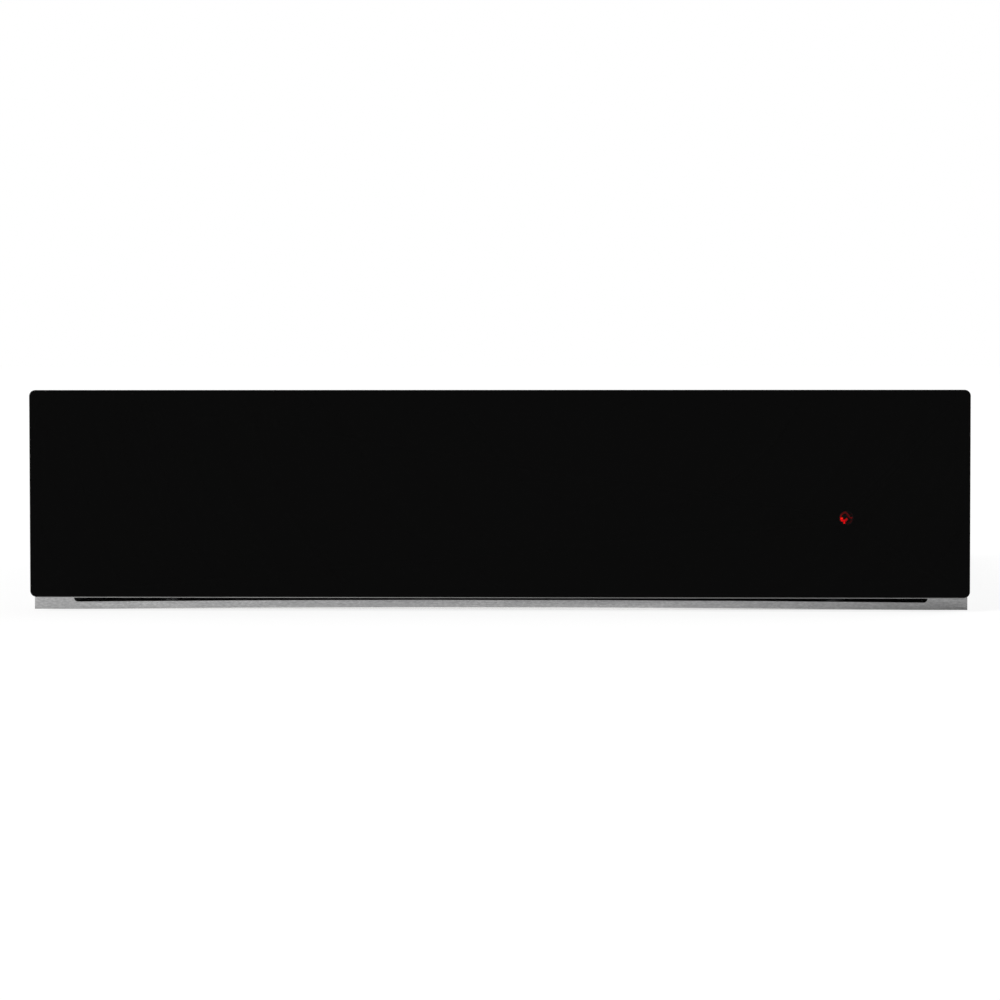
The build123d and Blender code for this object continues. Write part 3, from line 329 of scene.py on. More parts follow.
def aluminium():
    f = Finish("aluminium", (0.74, 0.74, 0.75), 0.35, metallic=1.0)
    f.round_edges(0.0003)
    cast = f.noise(500, 4, 0.6)
    f.paint(f.span(cast, 0, 1), (0.66, 0.66, 0.67), (0.79, 0.79, 0.8))
    f.polish(cast, 0.3, 0.46)
    f.relief(cast, 0.00005, 0.6)
    return f.material


def heater_steel():
    """Annealed tube: brown and blue heat tints over dull grey."""
    f = Finish("heater_steel", (0.38, 0.36, 0.34), 0.45, metallic=1.0)
    heat = f.span(f.noise(28, 3), 0, 1)
    base = f.blended(heat, (0.3, 0.24, 0.18), (0.26, 0.28, 0.34))
    scale = f.noise(700, 4, 0.6)
    f.paint(f.span(scale, 0, 0.6), base, (0.4, 0.38, 0.36))
    f.polish(scale, 0.4, 0.62)
    f.relief(scale, 0.00004, 0.6)
    return f.material


def brass():
    """Turned brass: fine rings round the shaft's axis."""
    f = Finish("brass", (0.72, 0.55, 0.28), 0.25, metallic=1.0)
    rings = f.noise((12, 12, 3500), 3)
    f.paint(f.span(rings, 0, 1), (0.66, 0.49, 0.24), (0.77, 0.6, 0.33))
    f.polish(rings, 0.2, 0.34)
    f.relief(rings, 0.00003, 0.6)
    return f.material


def cable_rubber():
    f = Finish("cable_rubber", (0.03, 0.03, 0.03), 0.45)
    dust = f.noise(180, 4, 0.6)
    f.paint(f.span(dust, 0, 1), (0.022, 0.022, 0.023), (0.045, 0.045, 0.046))
    f.polish(dust, 0.4, 0.58)
    f.relief(f.noise(2600), 0.00004, 0.5)
    return f.material


def seal_rubber():
    """Sealing strip with a pale metallised skin: faint lengthwise drag lines and creases."""
    f = Finish("seal_rubber", (0.86, 0.86, 0.85), 0.12, metallic=0.85)
    drag = f.noise((30, 900, 900), 3, 0.6)
    f.paint(f.span(drag, 0, 1), (0.82, 0.82, 0.81), (0.9, 0.9, 0.89))
    f.polish(drag, 0.1, 0.16)
    f.relief(f.noise((60, 300, 300), 2), 0.00001, 0.5)
    return f.material


def white_print():
    f = Finish("white_print", (0.82, 0.82, 0.8), 0.5)
    f.paint(f.noise(800), (0.74, 0.74, 0.72), (0.86, 0.86, 0.84))
    return f.material


def black_scale():
    f = Finish("black_scale", (0.02, 0.02, 0.021), 0.5)
    f.paint(f.noise(800), (0.014, 0.014, 0.015), (0.03, 0.03, 0.031))
    return f.material


GLASS_LOSS = 4.1  # how much brighter the lamp is than it looks through the glass


def lamp_glow(name, die, colour, near_level, far_level, reach):
    """Glow inside the lamp, painted light on the lead frame: near_level at the die, far_level
    from the reach on.
    """
    f = Finish(name, (0.02, 0.001, 0.001), 0.6)
    gap = f.maths("ShaderNodeVectorMath", "DISTANCE", f.place, die)["Value"]
    level = f.span(gap, near_level * GLASS_LOSS, far_level * GLASS_LOSS, start=0, end=reach)
    speckle = f.span(f.noise(2500, 3), 0.75, 1.2)
    power = f.maths("ShaderNodeMath", "MULTIPLY", level, speckle)[0]
    f.shader.inputs["Emission Color"].default_value = (*colour, 1)
    f.links.new(power, f.shader.inputs["Emission Strength"])
    return f.material


def lamp_resin():
    f = Finish("lamp_resin", (0.8, 0.3, 0.3), 0.05, IOR=1.04, Transmission_Weight=1.0)
    f.polish(f.noise(1200), 0.03, 0.08)
    return f.material


SLOT_FINISHES = {
    "black_glass": black_glass,
    "black_print": black_print,
    "brushed_steel": brushed_steel,
    "stainless": stainless,
    "galvanised": galvanised,
    "zinc_steel": zinc_steel,
    "bearing_steel": bearing_steel,
    "mineral_wool": mineral_wool,
    "rubber_mat": rubber_mat,
    "aluminium": aluminium,
    "heater_steel": heater_steel,
    "brass": brass,
    "cable_rubber": cable_rubber,
    "seal_rubber": seal_rubber,
}
# Colour, roughness and depth of the grain.
PLASTICS = {
    "black_plastic": ((0.03, 0.03, 0.032), 0.42, 0.00006),
    "gloss_black_plastic": ((0.02, 0.02, 0.022), 0.16, 0.00001),
    "grey_plastic": ((0.45, 0.46, 0.47), 0.5, 0.00006),
    "white_plastic": ((0.82, 0.81, 0.77), 0.45, 0.00004),
}
# Nodes whose finish differs from their slot's: the tray's narrow fold under the glass gets a
# darker copy of the stainless, painted shade for its place under the glass.
NODE_FINISHES = {"front_carrier": lambda: stainless("shaded_stainless", 0.62)}


def finish_nodes():
    """Every CAD node gets its own finish or its slot's; returns the slots' finishes."""
    made = {name: build() for name, build in SLOT_FINISHES.items()}
    made.update({name: plastic(name, *looks) for name, looks in PLASTICS.items()})
    own = {name: build() for name, build in NODE_FINISHES.items()}
    for row in frame["record"]["subparts"]:
        finish = own.get(row["node"], made.get(row["material_slot"]))
        if finish:
            node = NODES[row["node"]]
            node.data.materials.clear()
            node.data.materials.append(finish)
    return made


# ---- Mesh helpers ----
def new_piece(name, mesh, finish, body):
    piece = bpy.data.objects.new(name, mesh)
    bpy.context.scene.collection.objects.link(piece)
    mesh.materials.clear()
    mesh.materials.append(finish)
    if body:
        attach(piece, body)
    return piece


def mesh_of(name, bm):
    """Mesh of a bmesh, which is freed, with its faces turned outwards."""
    bmesh.ops.recalc_face_normals(bm, faces=bm.faces)
    mesh = bpy.data.meshes.new(name)
    bm.to_mesh(mesh)
    bm.free()
    return mesh


def smooth(mesh):
    for polygon in mesh.polygons:
        polygon.use_smooth = True


def from_bmesh(name, bm, finish, body, smooth_angle=40):
    mesh = mesh_of(name, bm)
    smooth(mesh)
    mesh.set_sharp_from_angle(angle=math.radians(smooth_angle))
    return new_piece(name, mesh, finish, body)


def mesh_of_curve(name, curve):
    """Mesh of a curve, which is removed."""
    holder = bpy.data.objects.new(name, curve)
    mesh = bpy.data.meshes.new_from_object(holder)
    bpy.data.objects.remove(holder)
    bpy.data.curves.remove(curve)
    mesh.name = name
    return mesh


def tube_mesh(name, points, radius, resolution=4):
    """Round tube through the points, with its ends closed."""
    curve = bpy.data.curves.new(name, "CURVE")
    curve.dimensions = "3D"
    spline = curve.splines.new("POLY")
    spline.points.add(len(points) - 1)
    for i, point in enumerate(points):
        spline.points[i].co = (*point, 1)
    curve.bevel_depth = radius
    curve.bevel_resolution = resolution
    curve.use_fill_caps = True
    mesh = mesh_of_curve(name, curve)
    smooth(mesh)
    return mesh


def smooth_path(points, steps=6):
    """Points of a Catmull-Rom curve through a few given points."""
    ends = [2 * points[0] - points[1], *points, 2 * points[-1] - points[-2]]
    path = []
    for a, b, c, d in zip(ends, ends[1:], ends[2:], ends[3:]):
        for k in range(steps):
            t = k / steps
            cubic = (3 * b - a - 3 * c + d) * t**3 + (2 * a - 5 * b + 4 * c - d) * t**2
            path.append(0.5 * (cubic + (c - a) * t + 2 * b))
    return [*path, points[-1]]


def revolve(bm, profile, place, segments):
    """Closed solid turned about the matrix's Z axis from (radius, height) points."""
    rings = []
    for radius, height in profile:
        if radius == 0:
            rings.append([bm.verts.new(place @ Vector((0, 0, height)))])
            continue
        ring = []
        for k in range(segments):
            angle = 2 * math.pi * k / segments
            spot = Vector((radius * math.cos(angle), radius * math.sin(angle), height))
            ring.append(bm.verts.new(place @ spot))
        rings.append(ring)
    for low, high in zip(rings, rings[1:]):
        for k in range(segments):
            after = (k + 1) % segments
            if len(low) == 1:
                bm.faces.new((low[0], high[k], high[after]))
            elif len(high) == 1:
                bm.faces.new((low[k], low[after], high[0]))
            else:
                bm.faces.new((low[k], low[after], high[after], high[k]))


def close_sides(bm, low, high):
    """Walls between two rings that have the same number of vertices."""
    for k in range(len(low)):
        after = (k + 1) % len(low)
        bm.faces.new((low[k], low[after], high[after], high[k]))


def prism(bm, outline, rise):
    """Closed solid between a flat outline and the same outline moved by the rise."""
    low = [bm.verts.new(point) for point in outline]
    high = [bm.verts.new(Vector(point) + rise) for point in outline]
    bm.faces.new(low)
    bm.faces.new(high)
    close_sides(bm, low, high)


def facing(origin, axis):
    """Matrix whose Z runs along the axis, at that origin."""
    return Matrix.Translation(origin) @ axis.to_track_quat("Z", "Y").to_matrix().to_4x4()


def islands(node):
    """Lowest and highest corner of each separate solid in a node's mesh."""
    bm = bmesh.new()
    bm.from_mesh(NODES[node].data)
    bmesh.ops.remove_doubles(bm, verts=bm.verts, dist=1e-6)
    left = set(bm.verts)
    found = []
    while left:
        stack = [left.pop()]
        group = []
        while stack:
            vert = stack.pop()
            group.append(vert.co.copy())
            for edge in vert.link_edges:
                other = edge.other_vert(vert)
                if other in left:
                    left.remove(other)
                    stack.append(other)
        low = Vector([min(p[k] for p in group) for k in range(3)])
        high = Vector([max(p[k] for p in group) for k in range(3)])
        found.append((low, high))
    bm.free()
    return sorted(found, key=lambda pair: tuple(round(c, 5) for c in pair[0]))


# ---- Screws ----
HEAD_R, HEAD_T = 0.0028, 0.0016
HEAD_RIM = 0.35  # upright part of the head's edge, as a share of its height
DOME_ANGLES = (0.0, 0.35, 0.7, 1.05, 1.35)
RECESS_W, RECESS_L, RECESS_D = 0.0007, 0.0033, 0.0011
RECESS_FLOOR = 0.35  # length of the recess at its floor, as a share
RECESS_TOP = 1.2  # top of its cutter, as a share of the head's height
SHANK_R = 0.0015
TIP_L = 0.0008  # least length of the tapered tip
TIP_END = 0.4  # flat end of the tip, as a share of the shank's radius
THREAD_PITCH = 0.0006
THREAD_ROOT = 0.82  # as a share of the shank's radius
SCREW_TURN = 0.7  # radians from one screw's recess to the next one's


def screw_body(shank):
    """Pan head and threaded shank, the seat at z = 0."""
    rise = [HEAD_RIM + (1 - HEAD_RIM) * math.sin(a) for a in DOME_ANGLES]
    dome = [(HEAD_R * math.cos(a), HEAD_T * share) for a, share in zip(DOME_ANGLES, rise)]
    thread = []
    turns = int((shank - TIP_L) / THREAD_PITCH)
    for k in range(turns):
        z = (k - turns) * THREAD_PITCH
        thread += [(SHANK_R * THREAD_ROOT, z), (SHANK_R, z + THREAD_PITCH / 2)]
    tip = [(0, -shank), (SHANK_R * TIP_END, -shank)]
    bm = bmesh.new()
    profile = [*tip, *thread, (SHANK_R, 0), (HEAD_R, 0), *dome, (0, HEAD_T)]
    revolve(bm, profile, Matrix.Identity(4), segments=24)
    return mesh_of("screw_body", bm)


def cross_cutter():
    """Two crossed bars that narrow towards the recess's floor."""
    bm = bmesh.new()
    levels = ((HEAD_T - RECESS_D, RECESS_FLOOR), (HEAD_T * RECESS_TOP, 1.0))
    for turn in (0, math.pi / 2):
        spin = Matrix.Rotation(turn, 4, "Z")
        rings = []
        for z, share in levels:
            x, y = RECESS_L / 2 * share, RECESS_W / 2
            corners = ((-x, -y, z), (x, -y, z), (x, y, z), (-x, y, z))
            rings.append([bm.verts.new(spin @ Vector(corner)) for corner in corners])
        low, high = rings
        bm.faces.new(low[::-1])
        bm.faces.new(high)
        close_sides(bm, low, high)
    return mesh_of("screw_cut", bm)


def screw_mesh(shank):
    """Pan-head screw with a cross recess and a threaded shank, its seat at z = 0."""
    holder = bpy.data.objects.new("screw_holder", screw_body(shank))
    tool = bpy.data.objects.new("screw_tool", cross_cutter())
    for thing in (holder, tool):
        bpy.context.scene.collection.objects.link(thing)
    carve = holder.modifiers.new("carve", "BOOLEAN")
    carve.object = tool
    carve.operation = "DIFFERENCE"
    carve.use_self = True
    bpy.context.view_layer.update()
    carved = holder.evaluated_get(bpy.context.evaluated_depsgraph_get())
    made = bpy.data.meshes.new_from_object(carved)
    for thing in (holder, tool):
        bpy.data.objects.remove(thing)
    return made


def screw_set(name, node, body, axis_of, finish):
    """Replaces a node's plain screws, each in its place, with turned ones."""
    patterns = {}
    bm = bmesh.new()
    for count, (low, high) in enumerate(islands(node)):
        centre = (low + high) / 2
        axis = axis_of(centre)
        length = (high - low).dot(Vector([abs(c) for c in axis]))
        seat = centre + axis * (length / 2 - HEAD_T)
        place = facing(seat, axis) @ Matrix.Rotation(SCREW_TURN * count, 4, "Z")
        shank = round(length - HEAD_T, 5)
        if shank not in patterns:
            patterns[shank] = screw_mesh(shank)
        one = patterns[shank].copy()
        one.transform(place)
        bm.from_mesh(one)
        bpy.data.meshes.remove(one)
    for pattern in patterns.values():
        bpy.data.meshes.remove(pattern)
    piece = from_bmesh(name, bm, finish, body, smooth_angle=30)
    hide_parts(node)


REAR_REACH = 0.005  # how far before the rear panel its screws' middles may lie


def casing_screw_axis(centre):
    """Way a casing screw's head looks: out of a side panel, out of the rear one, or up."""
    side_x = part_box("side_panel_right")[0].x
    if abs(centre.x) > side_x and centre.y < 0:
        return X_AXIS * math.copysign(1, centre.x)
    if centre.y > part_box("rear_panel")[0].y - REAR_REACH:
        return Y_AXIS
    return Z_AXIS


# ---- Rail rivets on the outside of the side panels ----
RIVET_R, RIVET_T = 0.0032, 0.0009
RIVET_PROFILE = ((0, 0), (1, 0), (0.94, 0.5), (0.6, 1), (0, 1))  # shares of radius and height
RIVET_SHARES = (0.12, 0.5, 0.88)  # places along the rail


def rivets(side, finish):
    bm = bmesh.new()
    rail_low, rail_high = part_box(f"rail_outer_{side}")
    panel_low, panel_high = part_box(f"side_panel_{side}")
    outer = panel_high.x if side == "right" else panel_low.x
    axis = X_AXIS if side == "right" else -X_AXIS
    z = (rail_low.z + rail_high.z) / 2
    profile = [(RIVET_R * across, RIVET_T * up) for across, up in RIVET_PROFILE]
    for share in RIVET_SHARES:
        y = rail_low.y + share * (rail_high.y - rail_low.y)
        revolve(bm, profile, facing(Vector((outer, y, z)), axis), segments=28)
    from_bmesh(f"rail_rivets_{side}", bm, finish, "casing", smooth_angle=35)


# ---- Mat ----
MAT_SHEET = 0.0012  # thickness of the sheet that the ribs stand on
MAT_RIM = 0.006
MAT_CORNER_R = 0.008
CORNER_STEP = 15  # degrees between the points of a round corner
RIB_PITCH = 0.0068
RIB_HALF = RIB_PITCH * 0.32
RIB_STEPS = 6
RIB_END = 0.15  # height of a rib's ends, as a share
RIB_SINK = 0.0001  # the lower a rib gets, the deeper its foot is in the sheet, up to this


def mat(finish):
    """Mat with low rounded ribs, a flat rim and a corner cut out for the controls."""
    low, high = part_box("drawer_mat")
    housing_low, housing_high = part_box("control_housing")
    gap = low.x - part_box("rear_wall")[0].x
    notch_x = housing_low.x - gap
    notch_y = housing_high.y + gap
    base_z = low.z + MAT_SHEET
    bm = bmesh.new()
    outline = mat_outline(low, high, notch_x, notch_y)
    prism(bm, [(x, y, low.z) for x, y in outline], Z_AXIS * MAT_SHEET)
    count = int((high.x - low.x - 2 * MAT_RIM) / RIB_PITCH)
    first = (low.x + high.x) / 2 - (count - 1) / 2 * RIB_PITCH
    for k in range(count):
        x = first + k * RIB_PITCH
        front = notch_y if x > notch_x - RIB_PITCH else low.y
        rib(bm, x, front + MAT_RIM, high.y - MAT_RIM, base_z, high.z)
    piece = from_bmesh("mat", bm, finish, "drawer", smooth_angle=50)
    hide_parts("drawer_mat")


def mat_outline(low, high, notch_x, notch_y):
    """Mat's outline with round outer corners, anticlockwise."""
    r = MAT_CORNER_R
    points = [(notch_x, low.y), (notch_x, notch_y), (high.x, notch_y)]
    rounded = (
        (high.x - r, high.y - r, 0),
        (low.x + r, high.y - r, 90),
        (low.x + r, low.y + r, 180),
    )
    for x, y, start in rounded:
        for k in range(90 // CORNER_STEP + 1):
            angle = math.radians(start + CORNER_STEP * k)
            points.append((x + r * math.cos(angle), y + r * math.sin(angle)))
    return points


def rib(bm, x, y0, y1, z0, z1):
    """One rounded rib with sloping ends, standing on the mat's sheet."""
    places = ((y0, RIB_END), (y0 + RIB_HALF, 1.0), (y1 - RIB_HALF, 1.0), (y1, RIB_END))
    rings = []
    for y, share in places:
        ring = []
        foot = z0 - RIB_SINK * (1 - share)
        for k in range(RIB_STEPS + 1):
            angle = math.pi * k / RIB_STEPS
            height = (z1 - z0) * math.sin(angle) * share
            ring.append(bm.verts.new((x + RIB_HALF * math.cos(angle), y, foot + height)))
        rings.append(ring)
    for a, b in zip(rings, rings[1:]):
        close_sides(bm, a, b)
    bm.faces.new(rings[0])
    bm.faces.new(rings[-1])


# ---- Coiled cable and latch spring ----
HELIX_STEPS = 18  # points in each turn


def helix(axis_point, y0, y1, radius, turns):
    """Points of a helix about a line along Y."""
    count = turns * HELIX_STEPS
    points = []
    for k in range(count + 1):
        share = k / count
        angle = 2 * math.pi * turns * share
        x = axis_point.x + radius * math.cos(angle)
        z = axis_point.z + radius * math.sin(angle)
        points.append(Vector((x, y0 + share * (y1 - y0), z)))
    return points


CABLE_R = 0.0024
CABLE_TURNS = 28
CABLE_LEAD = 0.006  # run from the coil to each end, which lies on the coil's axis
CABLE_INSET = 0.0004  # of the ends from those of the CAD cable
LEAD_STEPS = 9


def cable_lead(centre, end_y, way, radius):
    """Points from the axis at one end, out to the coil that lies that way along Y."""
    points = []
    for k in range(LEAD_STEPS):
        share = k / LEAD_STEPS
        out = radius * share * share * (3 - 2 * share)
        angle = -way * math.pi / 2 * (1 - share)
        y = end_y + way * (CABLE_INSET + CABLE_LEAD * share)
        x, z = centre.x + out * math.cos(angle), centre.z + out * math.sin(angle)
        points.append(Vector((x, y, z)))
    return points


def coiled_cable(finish):
    low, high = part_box("coil_cable")
    centre = (low + high) / 2
    radius = (high.x - low.x) / 2 - CABLE_R
    coil = helix(centre, low.y + CABLE_LEAD, high.y - CABLE_LEAD, radius, CABLE_TURNS)
    lead_in = cable_lead(centre, low.y, 1, radius)
    lead_out = cable_lead(centre, high.y, -1, radius)
    path = [*lead_in, *coil, *reversed(lead_out)]
    mesh = tube_mesh("cable", path, CABLE_R, resolution=5)
    piece = new_piece("cable", mesh, finish, None)
    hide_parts("coil_cable")
    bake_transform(piece)


SPRING_WIRE_R = 0.0005
SPRING_TURNS = 7


def spring(finish):
    """Compression spring with one closed turn at each end."""
    low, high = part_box("latch_spring")
    centre = (low + high) / 2
    radius = (high.x - low.x) / 2 - SPRING_WIRE_R
    y0, y1 = low.y + SPRING_WIRE_R, high.y - SPRING_WIRE_R
    closed = 2 * SPRING_WIRE_R
    front_turn = helix(centre, y0, y0 + closed, radius, 1)
    rear_turn = helix(centre, y1 - closed, y1, radius, 1)
    coil = helix(centre, y0 + closed, y1 - closed, radius, SPRING_TURNS)
    path = [*front_turn, *coil[1:-1], *rear_turn]
    mesh = tube_mesh("spring", path, SPRING_WIRE_R, resolution=3)
    piece = new_piece("spring", mesh, finish, None)
    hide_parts("latch_spring")
    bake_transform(piece)


# ---- Indicator lamp ----
LAMP_MM = 0.001
RED = (1.0, 0.001, 0.004)
ORANGE = (1.0, 0.022, 0.007)
# Places in the lamp, right and up from its middle, in millimetres.
DIE = (-2.8, -0.6)
CUP = ((-3.45, 0), (-3.4, -1), (-2.7, -1.8), (-1.9, -2), (-1.1, -2), (-0.35, -1.65), (0.6, -0.6))
BOW_LEFT = ((-3.55, 0.4), (-3.4, 1.3), (-2.8, 2.1), (-1.8, 2.85))
BOW_RIGHT = ((-0.65, 3.15), (0.35, 2.5), (1.15, 1.45), (2.1, 0.1))
BOW_END = ((2.1, 0.1), (2.7, -0.3), (3.3, -0.15), (3.6, 0.4))
TIP = ((3.2, 1.95), (3.2, 2.25))
POST = ((-1.3, -2.1), (-1.35, -3.85))
RIM = ((3.4, -1.2), (2.9, -2.15), (2.15, -2.95), (1.45, -3.55))
# The lit lead frame, its light painted on as glow: path, its radius in millimetres,
# brightness at the die, brightness at the reach, and the reach in metres.
STROKES = {
    "cup": (CUP, 0.68, 0.85, 0.24, 0.0035),
    "bow": (BOW_LEFT + BOW_RIGHT, 0.55, 0.26, 0.065, 0.003),
    "bow_end": (BOW_END, 0.36, 0.12, 0.09, 0.0065),
    "tip": (TIP, 0.3, 0.04, 0.035, 0.0065),
    "post": (POST, 0.48, 0.85, 0.8, 0.005),
    "rim": (RIM, 0.3, 0.05, 0.025, 0.006),
}
STROKE_DEPTH = 0.0022  # from the lamp's front
# Lit chip: radius and depth of each corner.
DIE_FRONT = ((0, 0), (0.00025, 0.0001), (0.0005, 0.0004))
DIE_REAR = ((0.00062, 0.0009), (0.00045, 0.0014), (0, 0.0015))
DIE_RISE = 0.0009  # how far its front lies before the strokes
# Moulded body: radii are shares of the CAD lamp's.
LENS_FRONT = ((0.8, 0), (0.93, 0.0002), (0.98, 0.0006))
LENS_SIDE, LENS_REAR = 0.985, 0.9
LENS_CHAMFER = 0.001
LENS_INSET = 0.0001


def lamp(resin):
    """Clear red lamp: moulded body with its lit lead frame inside."""
    low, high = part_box("indicator_led")
    centre = (low + high) / 2
    radius = (high.x - low.x) / 2
    depth = low.y + STROKE_DEPTH

    def spot(x, z):
        return Vector((centre.x + x * LAMP_MM, depth, centre.z + z * LAMP_MM))

    die = spot(*DIE)
    # painted light: the lead frame's strokes glow with the die's light that the metal gives back
    for name, (places, half, near_level, far_level, reach) in STROKES.items():
        glow = lamp_glow(f"glow_{name}", die, RED, near_level, far_level, reach)
        path = smooth_path([spot(x, z) for x, z in places])
        mesh = tube_mesh(f"lamp_{name}", path, half * LAMP_MM)
        new_piece(f"lamp_{name}", mesh, glow, "drawer")
    bm = bmesh.new()
    place = facing(die - Y_AXIS * DIE_RISE, Y_AXIS)
    revolve(bm, DIE_FRONT + DIE_REAR, place, segments=20)
    glow = lamp_glow("glow_die", die, ORANGE, 1.3, 1.0, 0.002)
    from_bmesh("lamp_die", bm, glow, "drawer")
    bm = bmesh.new()
    length = high.y - low.y
    shares = [*LENS_FRONT, (LENS_SIDE, length - LENS_CHAMFER), (LENS_REAR, length)]
    profile = [(0, 0), *((radius * share, y) for share, y in shares), (0, length)]
    place = facing(Vector((centre.x, low.y + LENS_INSET, centre.z)), Y_AXIS)
    revolve(bm, profile, place, segments=40)
    body = from_bmesh("lamp_body", bm, resin, "drawer")
    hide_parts("indicator_led")


# ---- Marks on the controls ----
MARK_LIFT = 0.00004
MARK_T = 0.00006
DIAL_NUMBERS = ("0", "30", "40", "50", "60", "70", "80")
DIAL_STEP = 45.0
DIAL_RING = 0.0192
DIAL_SIZE = 0.0033
TICK_RING = (0.0159, 0.0170)
TICK_HALF = 0.00018
SHORT_TICK = 0.55  # length of the strokes between two figures, as a share
POINTER_RUN = (0.0048, 0.013)  # from the knob's axis
POINTER_HALF = 0.00045
ROCKER_SIZE = 0.0046
ROCKER_SHARES = {"I": 0.25, "O": 0.75}  # places along the rocker, from its front


def on_top(node, x, y):
    """Point and normal where a line down at x, y meets a node."""
    above = Vector((x, y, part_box(node)[1].z + 0.01))
    _, spot, normal, _ = NODES[node].ray_cast(above, Vector((0, 0, -1)))
    return spot, normal


def printed(name, text, size, place, finish, body):
    """Flat printed character, a little above the surface that it stands on."""
    curve = bpy.data.curves.new(name, "FONT")
    curve.body = text
    curve.size = size
    curve.align_x = "CENTER"
    curve.align_y = "CENTER"
    curve.extrude = MARK_T
    curve.resolution_u = 3
    mesh = mesh_of_curve(name, curve)
    mesh.transform(place)
    new_piece(name, mesh, finish, body)


def bar(bm, near, far, across, height):
    """Low bar from near to far, standing on their height."""
    outline = [near - across, far - across, far + across, near + across]
    prism(bm, outline, Z_AXIS * height)


def dial_ray(k):
    """Direction from the knob's axis to the figure k, clockwise from the front."""
    angle = math.radians(-90 - DIAL_STEP * k)
    return Vector((math.cos(angle), math.sin(angle), 0))


def dial_scale(finish):
    """Figures and strokes round the knob."""
    centre = middle("thermostat_shaft")
    centre.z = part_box("control_fascia")[1].z
    lift = Z_AXIS * (MARK_T + MARK_LIFT)
    for k, number in enumerate(DIAL_NUMBERS):
        place = Matrix.Translation(centre + lift + dial_ray(k) * DIAL_RING)
        printed(f"dial_{number}", number, DIAL_SIZE, place, finish, "drawer")
    bm = bmesh.new()
    for k in range(2 * len(DIAL_NUMBERS) - 1):
        out = dial_ray(k / 2)
        across = Z_AXIS.cross(out) * TICK_HALF
        near, far = (centre + out * r for r in TICK_RING)
        if k % 2:
            far = near + (far - near) * SHORT_TICK
        bar(bm, near, far, across, MARK_LIFT + 2 * MARK_T)
    from_bmesh("dial_strokes", bm, finish, "drawer")


def pointer_line(finish):
    """White inlay along the knob's raised pointer."""
    centre = middle("thermostat_shaft")
    centre.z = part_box("thermostat_knob")[1].z
    bm = bmesh.new()
    near, far = (centre - Y_AXIS * r for r in POINTER_RUN)
    bar(bm, near, far, X_AXIS * POINTER_HALF, MARK_T)
    from_bmesh("pointer_line", bm, finish, "knob")


def rocker_marks(finish):
    centre = middle("switch_body")
    low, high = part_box("rocker")
    for text, share in ROCKER_SHARES.items():
        spot, normal = on_top("rocker", centre.x, low.y + share * (high.y - low.y))
        slope = Matrix.Rotation(math.atan2(-normal.y, normal.z), 4, "X")
        place = Matrix.Translation(spot + normal * (MARK_T + MARK_LIFT / 2)) @ slope
        name = f"rocker_{text}"
        printed(name, text, ROCKER_SIZE, place, finish, "rocker_key")


# ---- Floor, background and light ----
AMBIENT = 0.5
FLOOR_COLOUR = (0.86, 0.86, 0.86)
FLOOR_HALF = 14.0
FLOOR_LIFT = 1.09  # brightness that the floor has of its own where it is seen
FLOOR_LIFT_SHARE = 0.75  # the rest is lit paint, which keeps the shadow


def bare_tree(holder):
    """Emptied node tree of a world or a material."""
    holder.use_nodes = True
    holder.node_tree.nodes.clear()
    return holder.node_tree


def mixed(tree, factor, first, second):
    """Mix of two shaders."""
    mix = tree.nodes.new("ShaderNodeMixShader")
    sources = (factor, first.outputs[0], second.outputs[0])
    for source, socket in zip(sources, mix.inputs):
        tree.links.new(source, socket)
    return mix


def show(tree, kind, shader):
    """Ends the tree in the shader; the kind is that of its output node."""
    out = tree.nodes.new(kind)
    tree.links.new(shader.outputs[0], out.inputs[0])


def seen_share(tree):
    """1 for rays from the camera, mirrors and glass, 0 for rays that only carry light."""
    path = tree.nodes.new("ShaderNodeLightPath")
    total = path.outputs["Is Camera Ray"]
    for name in ("Is Glossy Ray", "Is Transmission Ray"):
        most = tree.nodes.new("ShaderNodeMath")
        most.operation = "MAXIMUM"
        tree.links.new(total, most.inputs[0])
        tree.links.new(path.outputs[name], most.inputs[1])
        total = most.outputs[0]
    return total


def make_world():
    """White background where it is seen, and a weaker even light for the other rays."""
    world = bpy.data.worlds.new("studio")
    bpy.context.scene.world = world
    tree = bare_tree(world)
    light = tree.nodes.new("ShaderNodeBackground")
    light.inputs["Strength"].default_value = AMBIENT
    backdrop = tree.nodes.new("ShaderNodeBackground")
    for shader in (light, backdrop):
        shader.inputs["Color"].default_value = (1, 1, 1, 1)
    show(tree, "ShaderNodeOutputWorld", mixed(tree, seen_share(tree), light, backdrop))


def plane(name, corners, material):
    mesh = bpy.data.meshes.new(name)
    mesh.from_pydata([Vector(c) for c in corners], [], [(0, 1, 2, 3)])
    thing = bpy.data.objects.new(name, mesh)
    bpy.context.scene.collection.objects.link(thing)
    mesh.materials.append(material)
    return thing


def level_corners(x0, x1, y0, y1, z):
    return [(x0, y0, z), (x1, y0, z), (x1, y1, z), (x0, y1, z)]


def make_floor():
    """Pale floor that fades into the white background and keeps the shadow."""
    material = bpy.data.materials.new("studio_floor")
    tree = bare_tree(material)
    matt = tree.nodes.new("ShaderNodeBsdfDiffuse")
    matt.inputs["Color"].default_value = (*FLOOR_COLOUR, 1)
    lift = tree.nodes.new("ShaderNodeEmission")
    lift.inputs["Strength"].default_value = FLOOR_LIFT
    share = tree.nodes.new("ShaderNodeMath")
    share.operation = "MULTIPLY"
    share.inputs[1].default_value = FLOOR_LIFT_SHARE
    tree.links.new(seen_share(tree), share.inputs[0])
    show(tree, "ShaderNodeOutputMaterial", mixed(tree, share.outputs[0], matt, lift))
    half = FLOOR_HALF
    plane("floor", level_corners(-half, half, -half, half, 0), material)


def plain_emission(name, level):
    material = bpy.data.materials.new(name)
    tree = bare_tree(material)
    glow = tree.nodes.new("ShaderNodeEmission")
    glow.inputs["Color"].default_value = (level, level, level, 1)
    glow.inputs["Strength"].default_value = 1.0
    show(tree, "ShaderNodeOutputMaterial", glow)
    return material


